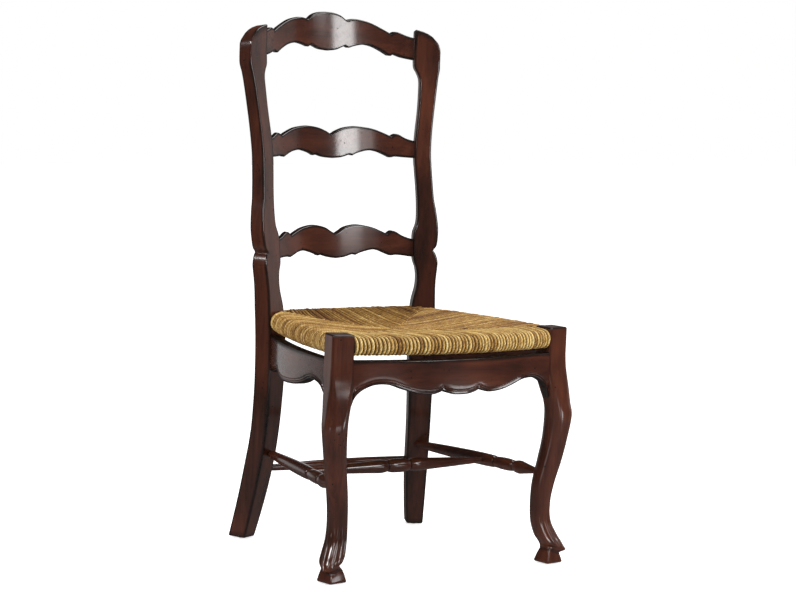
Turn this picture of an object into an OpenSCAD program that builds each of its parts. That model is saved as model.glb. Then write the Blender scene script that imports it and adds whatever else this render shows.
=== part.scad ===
// Ladderback side chair with a woven rush seat.
// +Z is up, the sitter faces -Y, and the origin lies on the floor under the middle of the chair.

/* [Base] */
// Distance from the middle plane to the axis of each front leg
leg_x = 252; // [240:1:262]
// How much nearer the middle plane the rear posts stand, at the seat
post_in = 72; // [66:1:78]
// Distance from the axes of the front legs back to the front faces of the rear posts, at the seat
base_d = 380; // [368:2:392]

/* [Front legs] */
// How far the flat tops of the front legs stand above the front edge of the seat
block_over = 5; // [3:1:8]
// Angle that each front leg is turned outward
leg_turn = 9; // [4:1:12]
// Width of the square block at the top of each front leg
block_w = 47; // [44:1:50]
// Length of the block, down to where it starts to run into the knee
block_len = 80; // [74:1:87]
// Height of the knee, where the leg stands out most, as a share of the leg's height
knee_part = 0.63; // [0.61:0.01:0.65]
// Reach of the knee from the leg's axis
knee_out = 50; // [46:1:54]
// Height of the ankle, as a share of the leg's height
ankle_part = 0.26; // [0.245:0.005:0.275]
// Thickness of the leg at the ankle
ankle_d = 42.5; // [38:0.5:46]
// How far the shaped leg stands in toward the front apron from its block's diagonal
leg_set = 5.5; // [0:0.5:7]
// Reach of the pointed toe from the leg's axis
toe_out = 50; // [46:1:54]
// Height of the toe's tip
toe_z = 30; // [28:1:33]
// Width of the sole under each front leg, corner to corner
sole_w = 58; // [52:1:60]

/* [Rear posts] */
// Height of the peaks of the rear posts
post_h = 1086; // [1080:1:1095]
// Angle that the front face of each post is turned inward
post_turn = 24; // [20:1:28]
// Thickness of the posts below the seat
post_leg_t = 42; // [38:1:46]
// Thickness of the posts in the back
post_back_t = 33; // [30:1:36]
// How far back the posts lean at their tops
post_rake = 85; // [75:1:95]
// How far back the posts sweep at the floor
post_sweep = 50; // [42:1:58]
// Angle at which the tops of the posts fall away toward the back
crown_tilt = 22; // [0:1:26]

/* [Slats] */
// Thickness of the slats
slat_t = 16; // [13:1:18]
// Radius of the slats' hollow front faces
slat_r = 375; // [350:5:420]
// Setback of the slats behind the front faces of the posts
slat_setback = 11; // [9:1:13]
// Lean of the slats from upright
slat_lean = 8; // [6:1:10]
// Length of the slats' tenons in the posts
slat_tenon = 20; // [15:1:24]

/* [Aprons] */
// Gap between the underside of the rush and the top edges of the aprons
apron_gap = 8; // [5:1:11]
// Thickness of the aprons
apron_t = 20; // [17:1:22]
// How far the front apron bows forward of its ends
apron_bow = 32.5; // [20:0.5:38]
// How far the side aprons bow outward
side_bow = 13; // [8:1:18]
// Length of the aprons' tenons
apron_tenon = 18; // [14:1:20]

/* [Seat] */
// Height of the front edge of the rush seat
seat_h = 487; // [484:1:489]
// How much higher the sides and the back of the seat are than its front edge
rim_rise = 3; // [0:0.5:4]
// Thickness of the rush at the rim
rim_t = 38; // [34:1:40]
// How far the middle of the seat lies below its rim
seat_dish = 17; // [10:1:20]
// Width and height of the rails inside the rush
rail_w = 22; // [18:1:24]
// Length of the rails' tenons
rail_tenon = 14; // [12:1:15]

/* [Stretchers] */
// Height of the side stretchers and of the cross stretcher
stretcher_z = 188; // [180:1:196]
// Height of the rear stretcher
rear_stretcher_z = 150; // [140:1:158]
// Largest diameter of the turned stretchers
stretcher_d = 27; // [24:1:30]
// Diameter of the ends of the side and rear stretchers
end_d = 13; // [11:0.5:15]
// Place of the cross stretcher behind the axes of the front legs, as a share of the base's depth
cross_part = 0.45; // [0.42:0.01:0.48]

/* [Fits and glides] */
// Clearance around every tenon
fit = 0.15; // [0.1:0.05:0.3]
// Clearance between the rush and the wood around it
rush_gap = 0.5; // [0.3:0.1:1]
// Diameter of the foot glides
glide_d = 16; // [14:1:18]
// Height of the foot glides
glide_h = 3; // [2:0.5:4]

/* [Hidden] */

wood = "#4a1f16";
dark_wood = "#331510";
straw = "#c9a566";
metal = "#6e6a64";

// Cutters and blanks run past the wood that they shape by this much.
past = 1;
room = 60;

// The rear posts lean back over the seat, so the origin lies this much behind the middle of the base.
origin_back = 55;
leg_y = base_d / 2 + origin_back;
post_y = base_d / 2 - origin_back;
post_x = leg_x - post_in;
cross_y = leg_y - cross_part * base_d;

// The outlines are drawn for posts 180 and legs 252 from the middle, a seat at 487 and posts 1086 high.
post_scale = post_x / 180;
leg_scale = leg_x / 252;
low_scale = seat_h / 487;
back_scale = (post_h - seat_h) / 599;
function lift(z) = z <= 487 ? z * low_scale : seat_h + (z - 487) * back_scale;
function lifted(p) = [for (q = p) [q[0] * post_scale, lift(q[1])]];
function scaled(p, size, z) = [for (q = p) [q[0] * size, z + q[1] * size]];

leg_h = seat_h + block_over;
block_low = leg_h - block_len;
knee_z = knee_part * leg_h;
ankle_z = ankle_part * leg_h;
apron_top = seat_h - rim_t - apron_gap;

// Points of a smooth curve through a list of points, with n steps from each point to the next.
function blend(a, b, c, d, t) =
    0.5 * (2 * b + (c - a) * t + (2 * a - 5 * b + 4 * c - d) * t * t + (3 * b - a - 3 * c + d) * t * t * t);
function curve(p, n) = [
    for (i = [0 : len(p) - 2], k = [0 : n - 1])
        blend(p[max(i - 1, 0)], p[i], p[i + 1], p[min(i + 2, len(p) - 1)], k / n),
    p[len(p) - 1]];
function reversed(p) = [for (i = [len(p) - 1 : -1 : 0]) p[i]];
function mirrored(p) = [for (q = p) [-q[0], q[1]]];
// Height of a curve at a given station, straight between its points
function at(p, z, i = 0) =
    i >= len(p) - 2 || z <= p[i + 1][0]
        ? p[i][1] + (p[i + 1][1] - p[i][1]) * (z - p[i][0]) / (p[i + 1][0] - p[i][0])
        : at(p, z, i + 1);

// ---- Rear posts ----
// Front outline of the right post: [distance from the post's middle, height].
post_foot_z = glide_h;
post_steps = 4;
post_over = 10;
post_outer = concat(
    [[25 * post_scale, post_foot_z]],
    curve(lifted([[25.5, 100], [26.5, 300], [27, 430], [25.5, 530], [28.5, 572], [30, 592], [27, 602],
        [20.5, 610]]), post_steps),
    curve(lifted([[22, 614], [27, 628], [29, 648], [29, 668], [24, 697], [18.5, 724], [13, 780], [10, 820],
        [12, 872], [16.5, 922], [21.5, 970], [26, 1008], [26.5, 1036], [26.5, 1066]]), post_steps),
    [[26.5 * post_scale, post_h + post_over]]);
post_inner = concat(
    [[-11 * post_scale, post_foot_z]],
    curve(lifted([[-12.9, 20], [-16.5, 60], [-21, 130], [-23, 220], [-25, 300], [-28.5, 400], [-27.5, 460],
        [-24, 500], [-17, 530], [-15.5, 552], [-18, 572], [-24, 590], [-25, 620], [-25, 646],
        [-18, 668], [-17, 695], [-19, 735], [-24, 785], [-26, 815], [-25, 852], [-20, 905], [-18, 945],
        [-18, 975], [-24, 992], [-30, 1004], [-31, 1030], [-31, 1066]]), post_steps),
    [[-31 * post_scale, post_h + post_over]]);
// Curve of the post's top, from its outer shoulder to the peak beside the slat
post_crown = curve(scaled([[26.5, -47], [24.5, -37], [20, -28], [12, -18.5], [-6, -7], [-31, 0]],
    post_scale, post_h), post_steps);
// Side profile: how far the front face lies behind its place at the seat: [height, distance].
post_front = curve([[post_foot_z, post_sweep], [lift(100), 0.52 * post_sweep],
    [lift(200), 0.13 * post_sweep], [lift(290), -2], [lift(380), -4], [seat_h - 17, 0],
    [lift(600), 0.17 * post_rake], [lift(700), 0.34 * post_rake], [lift(820), 0.52 * post_rake],
    [lift(950), 0.73 * post_rake], [post_h + post_over, post_rake + 2.5]], 3);
post_depth = [[post_foot_z, post_leg_t + 2], [lift(165), post_leg_t + 2], [lift(240), post_leg_t - 1],
    [lift(500), post_leg_t - 1], [lift(610), post_back_t + 3.5], [lift(760), post_back_t],
    [post_h + post_over, post_back_t - 2]];
post_back = [for (p = post_front) [p[0], p[1] + at(post_depth, p[0])]];

post_back_room = 200;
module post_outline() {
    rotate([90, 0, 0])
        translate([0, 0, -post_back_room])
            linear_extrude(post_back_room + 2 * room)
                polygon(concat(post_outer, reversed(post_inner)));
}
module post_profile() {
    translate([-room, 0, 0])
        rotate([90, 0, 90])
            linear_extrude(2 * room)
                polygon(concat([for (p = post_front) [p[1], p[0]]],
                    reversed([for (p = post_back) [p[1], p[0]]])));
}
// All that lies over the crown of a post, which turns about its front edge there
crown_z = post_h - 27;
crown_y = post_rake - 3;
module post_crown_cut() {
    translate([0, crown_y, crown_z])
        rotate([-crown_tilt, 0, 0])
            translate([0, room, -crown_z])
                rotate([90, 0, 0])
                    linear_extrude(2 * room)
                        polygon(concat(post_crown, [[-room, post_h], [-room, post_h + room],
                            [room, post_h + room], [room, post_crown[0][1]]]));
}
module post_blank() {
    difference() {
        intersection() {
            post_outline();
            post_profile();
        }
        post_crown_cut();
    }
}
module at_post(side) {
    mirror([side < 0 ? 1 : 0, 0, 0])
        translate([post_x, post_y, 0])
            rotate([0, 0, -post_turn])
                children();
}
function post_place(u, v) = [
    post_x + u * cos(post_turn) + v * sin(post_turn),
    post_y - u * sin(post_turn) + v * cos(post_turn)];
function post_face(z) = at(post_front, z);

// ---- Slats ----
// Half outlines of the slats, from the middle outward: [distance, height over the slat's own height].
edge_steps = 5;
crest_top = concat(
    curve([[0, 66], [18, 64.5], [34, 59.5], [46, 51]], edge_steps),
    curve([[49, 49], [59, 52], [73, 52.5], [100, 46.5], [128, 33], [143, 24]], edge_steps),
    curve([[145, 23], [149, 27], [155, 28.5], [163, 26], [176, 20.5], [192, 16], [212, 12]],
        edge_steps));
crest_bottom = concat(
    curve([[0, -17], [20, -14.5], [34, -9], [42, -5.5]], edge_steps),
    curve([[48, -9], [52, -9.5], [64, -5.5], [84, -2], [104, -5.5], [122, -14], [137, -23.5]],
        edge_steps),
    curve([[142, -24], [148, -21], [165, -27], [188, -31.5], [212, -35]], edge_steps));
middle_top = concat(
    curve([[0, 22.5], [12, 29.5], [30, 36.5], [50, 40], [66, 40.5], [96, 36.5], [120, 28],
        [134, 21.5]], edge_steps),
    curve([[136, 20.5], [141, 24.5], [147, 26.5], [153, 24.5], [165, 17.5], [182, 12.5], [204, 8]],
        edge_steps));
middle_bottom = concat(
    curve([[0, -28], [22, -26], [40, -20.5]], edge_steps),
    curve([[49, -22], [60, -16.5], [85, -10.5], [105, -13], [120, -19], [131, -24.5]], edge_steps),
    curve([[135, -24], [141, -22.5], [160, -23.5], [181, -24.5], [204, -25.5]], edge_steps));
lower_top = concat(
    curve([[0, 26], [12, 33], [27, 41], [54, 45.5], [84, 41], [105, 33], [118, 26.5]], edge_steps),
    curve([[120, 26.5], [125, 31.5], [131, 33.5], [138, 31], [150, 23.5], [167, 17.5], [194, 12]],
        edge_steps));
lower_bottom = concat(
    curve([[0, -26], [20, -23.5], [38, -18]], edge_steps),
    curve([[47, -19.5], [58, -14.5], [84, -8], [100, -10], [113, -15.5], [124, -20]], edge_steps),
    curve([[128, -19.5], [135, -18.5], [150, -19.5], [166, -21.5], [194, -23]], edge_steps));

// The slat's hollow face meets the post's inner side at this place, from which its middle is worked out.
function slat_mid_y(z, u) =
    let (p = post_place(u, post_face(z) + slat_setback))
        p[1] + slat_r - sqrt(slat_r * slat_r - p[0] * p[0]);
module slat_band(z, u) {
    translate([0, slat_mid_y(z, u), z])
        rotate([-slat_lean, 0, 0])
            translate([0, -slat_r, -2 * room])
                difference() {
                    cylinder(h = 4 * room, r = slat_r + slat_t, $fn = 240);
                    translate([0, 0, -past])
                        cylinder(h = 4 * room + 2 * past, r = slat_r, $fn = 240);
                }
}
slat_tenon_t = 8;
slat_tenon_root = 5;
slat_tenon_back = 1;
// A mortise is this much deeper than its tenon is long.
function end_room(g) = g > 0 ? past : 0;
// Tenon of a slat in the right post, grown by g for its mortise
module slat_tenon_bar(at, g = 0) {
    z = at[0];
    low = at[1];
    high = at[2];
    u = at[3];
    v = post_face(z) + slat_setback + (slat_t - slat_tenon_t) / 2 + slat_tenon_back;
    rise = tan(slat_lean) * cos(post_turn);
    translate([u - slat_tenon_root, v - g, 0])
        rotate([90, 0, 90])
            linear_extrude(slat_tenon_root + slat_tenon + end_room(g))
                polygon([[(low - z) * rise, low - g], [(low - z) * rise + slat_tenon_t + 2 * g, low - g],
                    [(high - z) * rise + slat_tenon_t + 2 * g, high + g], [(high - z) * rise, high + g]]);
}
module slat(at, top_edge, bottom_edge) {
    z = at[0];
    u = at[3];
    top = scaled(top_edge, post_scale, z);
    bottom = scaled(bottom_edge, post_scale, z);
    color(wood)
        union() {
            difference() {
                intersection() {
                    translate([0, slat_mid_y(z, u) + room, 0])
                        rotate([90, 0, 0])
                            linear_extrude(3 * room)
                                polygon(concat(reversed(mirrored(top)), top, reversed(bottom),
                                    mirrored(bottom)));
                    slat_band(z, u);
                }
                for (side = [-1, 1])
                    at_post(side) post_outline();
            }
            for (side = [-1, 1])
                at_post(side) slat_tenon_bar(at);
        }
}
// [the slat's own height, its tenon's low end, its tenon's high end, place of the post's inner edge there]
function slat_at(z, low, high, u) = [z, z + low * post_scale, z + high * post_scale, u * post_scale];
crest_at = slat_at(post_h - 36, -24, 6, -31);
middle_at = slat_at(lift(832), -18, 6, -26);
lower_at = slat_at(lift(617), -15, 10, -25);
module crest_slat() slat(crest_at, crest_top, crest_bottom);
module middle_slat() slat(middle_at, middle_top, middle_bottom);
module lower_slat() slat(lower_at, lower_top, lower_bottom);

// ---- Front legs ----
// A leg is a stack of rounded squares whose corners lie on the diagonal in which it curves.
// Stations: [height, reach outward, reach inward, reach to each side, roundness from 0 to 1, set to the side].
block_reach = block_w / 2 * sqrt(2) - 1.7;
ankle_r = ankle_d / 2;
sole_r = sole_w / 2;
sole_shift = 14;
sole_set = leg_set + 2;
foot_z = glide_h;
function shin(share) = ankle_z + share * (knee_z - ankle_z);
function thigh(share) = knee_z + share * (block_low - knee_z);
foot_stations = [
    [foot_z, sole_shift + sole_r, sole_r - sole_shift, sole_r, 0.12, sole_set],
    [foot_z + 4, sole_shift + sole_r - 0.8, sole_r - sole_shift - 0.8, sole_r - 0.8, 0.12, sole_set],
    [toe_z - 8, toe_out - 12.5, 4.5, 20.5, 0.2, sole_set],
    [toe_z - 5.5, toe_out - 11, 4, 20, 0.3, sole_set],
    [toe_z - 1, toe_out - 1.5, 4, 18, 0.5, sole_set - 0.5]];
leg_stations = curve([
    [toe_z + 1, toe_out, 4.5, 19, 0.55, sole_set - 0.5],
    [toe_z + 7, toe_out - 4, 6.5, 23, 0.6, sole_set - 1],
    [toe_z + 16, toe_out - 9.5, 10.5, 25, 0.6, sole_set - 1.5],
    [0.47 * ankle_z, 31, 18, 24.8, 0.6, leg_set],
    [0.69 * ankle_z, 17, 26.5, ankle_r + 1, 0.6, leg_set],
    [ankle_z, ankle_r - 7.5, ankle_r + 7.5, ankle_r, 0.6, leg_set],
    [shin(0.23), 20.7, 26.5, ankle_r + 0.2, 0.55, leg_set],
    [shin(0.478), 32.8, 18, ankle_r + 1, 0.5, leg_set],
    [shin(0.736), knee_out - 7.3, 10, ankle_r + 2.5, 0.45, leg_set],
    [knee_z, knee_out, 7.3, ankle_r + 5, 0.4, leg_set],
    [thigh(0.265), knee_out - 4.5, 10, ankle_r + 6.5, 0.35, leg_set],
    [thigh(0.52), 41.5, 19, ankle_r + 8.5, 0.25, leg_set - 1],
    [thigh(0.784), 36.7, 28, ankle_r + 9.5, 0.18, leg_set / 2],
    [block_low, block_reach, block_reach, block_reach, 0.12, 0]], 3);
block_stations = [[leg_h - 2, block_reach, block_reach, block_reach, 0.12, 0],
    [leg_h, block_reach - 2, block_reach - 2, block_reach - 2, 0.12, 0]];
all_stations = concat(foot_stations, leg_stations, block_stations);
corner_steps = 5;

// Ring of one station, in the leg's own axes: the diagonal points outward and forward.
function unit_ring(round) = [
    for (q = [0 : 3], k = [0 : corner_steps])
        let (turn = q * 90 + k * 90 / corner_steps)
            [(1 - round) * (q == 0 || q == 3 ? 1 : -1) + round * cos(turn),
                (1 - round) * (q < 2 ? 1 : -1) + round * sin(turn)]];
function ring(s) =
    let (
        reach = sqrt(2) * (1 - s[4]) + s[4],
        half = (s[1] + s[2]) / 2,
        shift = (s[1] - s[2]) / 2)
        [for (p = unit_ring(s[4]))
            let (
                a = (p[0] - p[1]) / sqrt(2) / reach * half + shift,
                b = (p[0] + p[1]) / sqrt(2) / reach * s[3] - s[5])
                [(a + b) / sqrt(2), (b - a) / sqrt(2), s[0]]];
ring_n = 4 * (corner_steps + 1);
sole_mid = [sole_shift - sole_set, -sole_shift - sole_set] / sqrt(2);
module stack(stations) {
    n = len(stations);
    points = [for (s = stations) each ring(s)];
    walls = [
        for (i = [0 : n - 2], k = [0 : ring_n - 1])
            let (j = (k + 1) % ring_n)
                each [[i * ring_n + k, (i + 1) * ring_n + k, (i + 1) * ring_n + j],
                    [i * ring_n + k, (i + 1) * ring_n + j, i * ring_n + j]]];
    polyhedron(points, concat([[for (k = [0 : ring_n - 1]) k]], walls,
        [[for (k = [ring_n - 1 : -1 : 0]) (n - 1) * ring_n + k]]));
}
module leg_blank() stack(all_stations);
module leg_top() stack([for (s = all_stations) if (s[0] > knee_z - 20) s]);
module at_leg(side) {
    mirror([side < 0 ? 1 : 0, 0, 0])
        translate([leg_x, -leg_y, 0])
            rotate([0, 0, leg_turn])
                children();
}
function leg_place(a, b) = [
    leg_x + a * cos(leg_turn) - b * sin(leg_turn),
    -leg_y + a * sin(leg_turn) + b * cos(leg_turn)];

// ---- Aprons ----
// The front apron's face stands this much behind the faces of the blocks.
apron_back = 1.5;
apron_tenon_low = apron_top - 34;
front_tenon_h = 28;
apron_tenon_t = 9;
apron_tenon_inset = (apron_t - apron_tenon_t) / 2;
apron_tenon_root = 6;
apron_end = leg_place(-block_w / 2, -block_w / 2 + apron_back);
apron_r = (apron_end[0] * apron_end[0] + apron_bow * apron_bow) / (2 * apron_bow);
apron_front_y = apron_end[1] - apron_bow;
front_edge = concat(
    curve([[0, -71.5], [18, -70.5], [34, -66.5]], edge_steps),
    curve([[43, -62], [52, -66], [66, -69], [84, -68.5], [104, -65.5], [128, -58.5], [152, -50],
        [172, -47], [190, -48.5], [205, -54], [218, -62], [229, -75], [236, -96]], edge_steps));
module band(r, t) {
    difference() {
        cylinder(h = leg_h, r = r, $fn = 360);
        translate([0, 0, -past])
            cylinder(h = leg_h + 2 * past, r = r - t, $fn = 360);
    }
}
apron_blank_low = apron_top - 96 * leg_scale;
front_half = scaled(front_edge, leg_scale, apron_top);
module front_apron_outline() {
    translate([0, apron_end[1] + room, 0])
        rotate([90, 0, 0])
            linear_extrude(apron_bow + 2 * room)
                polygon(concat(mirrored(reversed(front_half)), front_half,
                    [[leg_x, apron_blank_low], [leg_x, apron_top], [-leg_x, apron_top],
                        [-leg_x, apron_blank_low]]));
}
module front_tenon(g = 0) {
    translate([-block_w / 2 - apron_tenon_root, -block_w / 2 + apron_back + apron_tenon_inset - g,
        apron_tenon_low - g])
        cube([apron_tenon_root + apron_tenon + end_room(g), apron_tenon_t + 2 * g, front_tenon_h + 2 * g]);
}
module front_apron() {
    color(wood)
        union() {
            difference() {
                intersection() {
                    front_apron_outline();
                    translate([0, apron_front_y + apron_r, 0]) band(apron_r, apron_t);
                }
                for (side = [-1, 1])
                    at_leg(side) leg_top();
            }
            for (side = [-1, 1])
                at_leg(side) front_tenon();
        }
}

// A side apron follows an arc from the back of the leg's block to the front of the post.
side_start = leg_place(block_w / 2 - 2, block_w / 2);
side_end = post_place(24 * post_scale, post_face(apron_top));
side_chord = norm(side_end - side_start);
side_angle = atan2(side_start[0] - side_end[0], side_end[1] - side_start[1]);
side_r = (side_chord * side_chord / 4 + side_bow * side_bow) / (2 * side_bow);
side_mid = (side_start + side_end) / 2;
side_centre = side_mid - (side_r - side_bow) * [cos(side_angle), sin(side_angle)];
// Lower edge of a side apron, from its front end: [distance along the chord, height over the top edge].
side_edge = concat(
    [[-40, -73]],
    curve([[2, -69], [16, -57], [36, -50.5], [58, -49.5], [80, -54.5], [104, -63], [140, -71],
        [180, -75.5], [222, -77.5], [250, -74.5], [268, -69]], edge_steps),
    curve([[278, -61.5], [286, -66], [312, -71.5], [340, -73.5], [390, -74]], edge_steps));
side_scale = side_chord / 348.6;
side_lower = [for (q = side_edge) [q[0] * side_scale, apron_top + q[1] * leg_scale]];
module along_side(side) {
    mirror([side < 0 ? 1 : 0, 0, 0])
        translate([side_start[0], side_start[1], 0])
            rotate([0, 0, side_angle])
                children();
}
side_tenon_t = 9;
side_tenon_in = 7;
side_tenon_low = apron_top - 40;
side_root_front = 12;
side_root_rear = 6;
module side_tenon_front(g = 0) {
    translate([-side_tenon_in - side_tenon_t - g, -apron_tenon - end_room(g), side_tenon_low - g])
        cube([side_tenon_t + 2 * g, apron_tenon + side_root_front + end_room(g), 26 + 2 * g]);
}
module side_tenon_rear(g = 0) {
    translate([2 - side_tenon_in - side_tenon_t - g, side_chord - side_root_rear, side_tenon_low - g])
        cube([side_tenon_t + 2 * g, side_root_rear + apron_tenon + 4 + end_room(g), 34 + 2 * g]);
}
module side_apron(side) {
    color(wood)
        union() {
            difference() {
                intersection() {
                    along_side(side)
                        translate([-room, 0, 0])
                            rotate([90, 0, 90])
                                linear_extrude(2 * room)
                                    polygon(concat(side_lower, [[side_chord + room, apron_top],
                                        [-room, apron_top]]));
                    translate([side * side_centre[0], side_centre[1], 0]) band(side_r, apron_t);
                }
                at_leg(side) leg_top();
                at_post(side) apron_end_cut();
            }
            along_side(side) side_tenon_front();
            along_side(side) side_tenon_rear();
        }
}
// All that lies behind the front face of a post
module apron_end_cut() {
    translate([-2 * room, 0, 0])
        rotate([90, 0, 90])
            linear_extrude(4 * room)
                polygon(concat([for (p = post_front) [p[1], p[0]]],
                    [[post_back_room, post_h], [post_back_room, 0]]));
}

// ---- Seat rails and rush ----
rail_z = seat_h - rim_t / 2;
roll_w = 42;
rail_inset = (roll_w - rail_w) / 2;
rush_over = 3;
rail_round = 6;
rail_section = [for (q = [0 : 3], k = [0 : 3])
    (rail_w / 2 - rail_round) * [q == 0 || q == 3 ? 1 : -1, q < 2 ? 1 : -1]
        + rail_round * [cos(q * 90 + k * 30), sin(q * 90 + k * 30)]];
// Place across a post's face where the rear rail enters it
rear_rail_u = -26 * post_scale;
rear_rail_y = post_place(rear_rail_u, post_face(rail_z) + post_leg_t / 2)[1];
// Every rail runs between wood: the rails end in the blocks and posts with tenons of their own section.
module rail_along_arc(centre, r, from, sweep, g) {
    translate([centre[0], centre[1], rail_z])
        rotate([0, 0, from])
            rotate_extrude(angle = sweep, $fn = 360)
                polygon([for (p = rail_section) (1 + 2 * g / rail_w) * p + [r, 0]]);
}
front_rail_r = apron_r + rush_over - rail_inset - rail_w / 2;
front_rail_half = asin((leg_place(-block_w / 2 + rail_tenon, 0)[0]) / front_rail_r);
module front_rail_bar(g = 0, more = 0) {
    rail_along_arc([0, apron_front_y + apron_r], front_rail_r, -90 - front_rail_half - more,
        2 * (front_rail_half + more), g);
}
side_rail_r = side_r + rush_over - rail_inset - rail_w / 2;
function arc_angle(p) = atan2(p[1] - side_centre[1], p[0] - side_centre[0]);
side_rail_from = arc_angle(leg_place(block_w / 2, block_w / 2 - rail_tenon));
side_rail_to = arc_angle(post_place(0, post_face(rail_z) + rail_tenon));
module side_rail_bar(side, g = 0, more = 0) {
    mirror([side < 0 ? 1 : 0, 0, 0])
        rail_along_arc(side_centre, side_rail_r, side_rail_from - more,
            side_rail_to - side_rail_from + 2 * more, g);
}
rear_rail_half = post_place(rear_rail_u + rail_tenon, post_face(rail_z) + post_leg_t / 2)[0];
module rear_rail_bar(g = 0, more = 0) {
    translate([-rear_rail_half - more, rear_rail_y, rail_z])
        rotate([90, 0, 90])
            linear_extrude(2 * (rear_rail_half + more))
                polygon([for (p = rail_section) (1 + 2 * g / rail_w) * p]);
}
module front_seat_rail() color(dark_wood) front_rail_bar();
module rear_seat_rail() color(dark_wood) rear_rail_bar();
module side_seat_rail(side) color(dark_wood) side_rail_bar(side);

// Plan of the rush, from the middle of its back edge round the right side to the middle of its front edge
rush_r = apron_r + rush_over;
rush_front_y = apron_front_y - rush_over;
rear_edge_y = rear_rail_y + roll_w / 2;
rush_corner = side_centre + (side_r + rush_over) * [cos(side_rail_to), sin(side_rail_to)];
rush_plan_half = concat(
    [for (x = [0, 60, 120]) [x * post_scale, rear_edge_y]],
    [[150 * post_scale, rear_edge_y - 4], (rush_corner + [165 * post_scale, rear_edge_y - 16]) / 2],
    [for (k = [0 : 14])
        let (a = side_rail_to + (arc_angle(side_start) - 2 - side_rail_to) * k / 14)
            side_centre + (side_r + rush_over) * [cos(a), sin(a)]],
    [for (k = [8 : -1 : 0])
        let (x = apron_end[0] * k / 8)
            [x, rush_front_y + rush_r - sqrt(rush_r * rush_r - x * x)]]);
rush_plan = concat(rush_plan_half, [for (i = [len(rush_plan_half) - 2 : -1 : 1])
    [-rush_plan_half[i][0], rush_plan_half[i][1]]]);
rush_mid = [0, 0.51 * base_d - leg_y];
// Section of the rush from the middle of its underside round the rim to the middle of its top:
// [reach, height, share of the sides' extra height]
rush_section = [[0.82, seat_h - rim_t + 1, 0], [0.9, seat_h - rim_t, 0], [0.955, seat_h - rim_t + 3, 0],
    [0.985, seat_h - rim_t + 9, 0.2], [1, rail_z, 0.5], [0.985, seat_h - 9, 0.8], [0.955, seat_h - 3, 1],
    [0.9, seat_h, 1], [0.82, seat_h - 0.6, 1], [0.6, seat_h - 0.4 * seat_dish, 0.4],
    [0.3, seat_h - 0.8 * seat_dish, 0.1]];
// The sides rise from nothing at the front edge to their full extra height behind the front legs.
function rise(y) = rim_rise * min(1, max(0, (y - apron_end[1]) / 60));
module rush_body() {
    n = len(rush_plan);
    m = len(rush_section);
    points = concat(
        [for (s = rush_section, p = rush_plan)
            let (q = rush_mid + s[0] * (p - rush_mid)) [q[0], q[1], s[1] + s[2] * rise(q[1])]],
        [[rush_mid[0], rush_mid[1], seat_h - rim_t + 4], [rush_mid[0], rush_mid[1], seat_h - seat_dish]]);
    walls = [
        for (i = [0 : m - 2], k = [0 : n - 1])
            let (j = (k + 1) % n)
                each [[i * n + k, (i + 1) * n + j, (i + 1) * n + k], [i * n + k, i * n + j, (i + 1) * n + j]]];
    floor_fan = [for (k = [0 : n - 1]) [(k + 1) % n, k, m * n]];
    top_fan = [for (k = [0 : n - 1]) [(m - 1) * n + k, (m - 1) * n + (k + 1) % n, m * n + 1]];
    polyhedron(points, concat(walls, floor_fan, top_fan));
}
module rush_seat() {
    color(straw)
        difference() {
            rush_body();
            front_rail_bar(fit, 1);
            rear_rail_bar(fit, 1);
            for (side = [-1, 1]) {
                side_rail_bar(side, fit, 0.2);
                at_leg(side) leg_notch();
                at_post(side) post_notch();
            }
        }
}
// The rush stands clear of the blocks and of the posts, whose widest place there lies notch_u inward.
notch_over = 10;
notch_u = 28 * post_scale;
notch_v = 4;
module leg_notch() {
    half = block_w / 2 + rush_gap;
    translate([-half, -half - room, seat_h - rim_t - notch_over])
        cube([2 * half + room, 2 * half + room, rim_t + 2 * notch_over]);
}
module post_notch() {
    translate([-notch_u - rush_gap, -notch_v - rush_gap, seat_h - rim_t - notch_over])
        cube([2 * room, 2 * room, rim_t + 2 * notch_over]);
}

// ---- Turned stretchers ----
turn_steps = 4;
socket_depth = 17;
leg_socket = socket_depth + 6;
leg_socket_room = 20;
side_from = post_place(0, post_face(stretcher_z));
side_to = leg_place(-5, 2);
side_run = norm(side_from - side_to);
side_turn = atan2(side_from[0] - side_to[0], side_from[1] - side_to[1]);
side_inner = side_run - ankle_r - 1;
groove_a = 0.68 * side_inner;
groove_b = 0.832 * side_inner;
big_r = stretcher_d / 2;
end_r = end_d / 2;
// Half profile: [radius, distance from the face of the rear post]
side_turning = concat(
    [[0, -socket_depth], [end_r, -socket_depth]],
    curve([[end_r, 5], [8.6, 24], [11.8, 0.287 * side_inner], [big_r, 0.509 * side_inner],
        [big_r - 0.4, groove_a - 12], [big_r - 2, groove_a - 2.5]], turn_steps),
    [[big_r - 4, groove_a]],
    curve([[big_r - 2.4, groove_a + 2.5], [big_r - 0.6, groove_a + 20], [big_r - 0.6, groove_b - 16],
        [big_r - 2.2, groove_b - 2.5]], turn_steps),
    [[big_r - 4, groove_b]],
    curve([[big_r - 2, groove_b + 3], [big_r + 0.6, groove_b + 17], [big_r - 2.5, groove_b + 36],
        [end_r, side_inner]], turn_steps),
    [[end_r, side_inner + leg_socket], [0, side_inner + leg_socket]]);
module at_side_stretcher(side) {
    mirror([side < 0 ? 1 : 0, 0, 0])
        translate([side_from[0], side_from[1], stretcher_z])
            rotate([0, 0, -side_turn])
                rotate([90, 0, 0])
                    children();
}
cross_along = (side_from[1] + cross_y) / cos(side_turn);
cross_half = side_from[0] + cross_along * sin(-side_turn);
cross_end_r = 6;
cross_depth = 7;
module side_stretcher(side) {
    color(wood)
        difference() {
            at_side_stretcher(side) rotate_extrude($fn = 64) polygon(side_turning);
            cross_socket(side);
        }
}
module cross_socket(side) {
    translate([side * (cross_half - cross_depth), -cross_y, stretcher_z])
        rotate([0, side > 0 ? -90 : 90, 0])
            cylinder(h = big_r + 5, r = cross_end_r + fit, $fn = 48);
}
bulb_half = 27;
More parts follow.
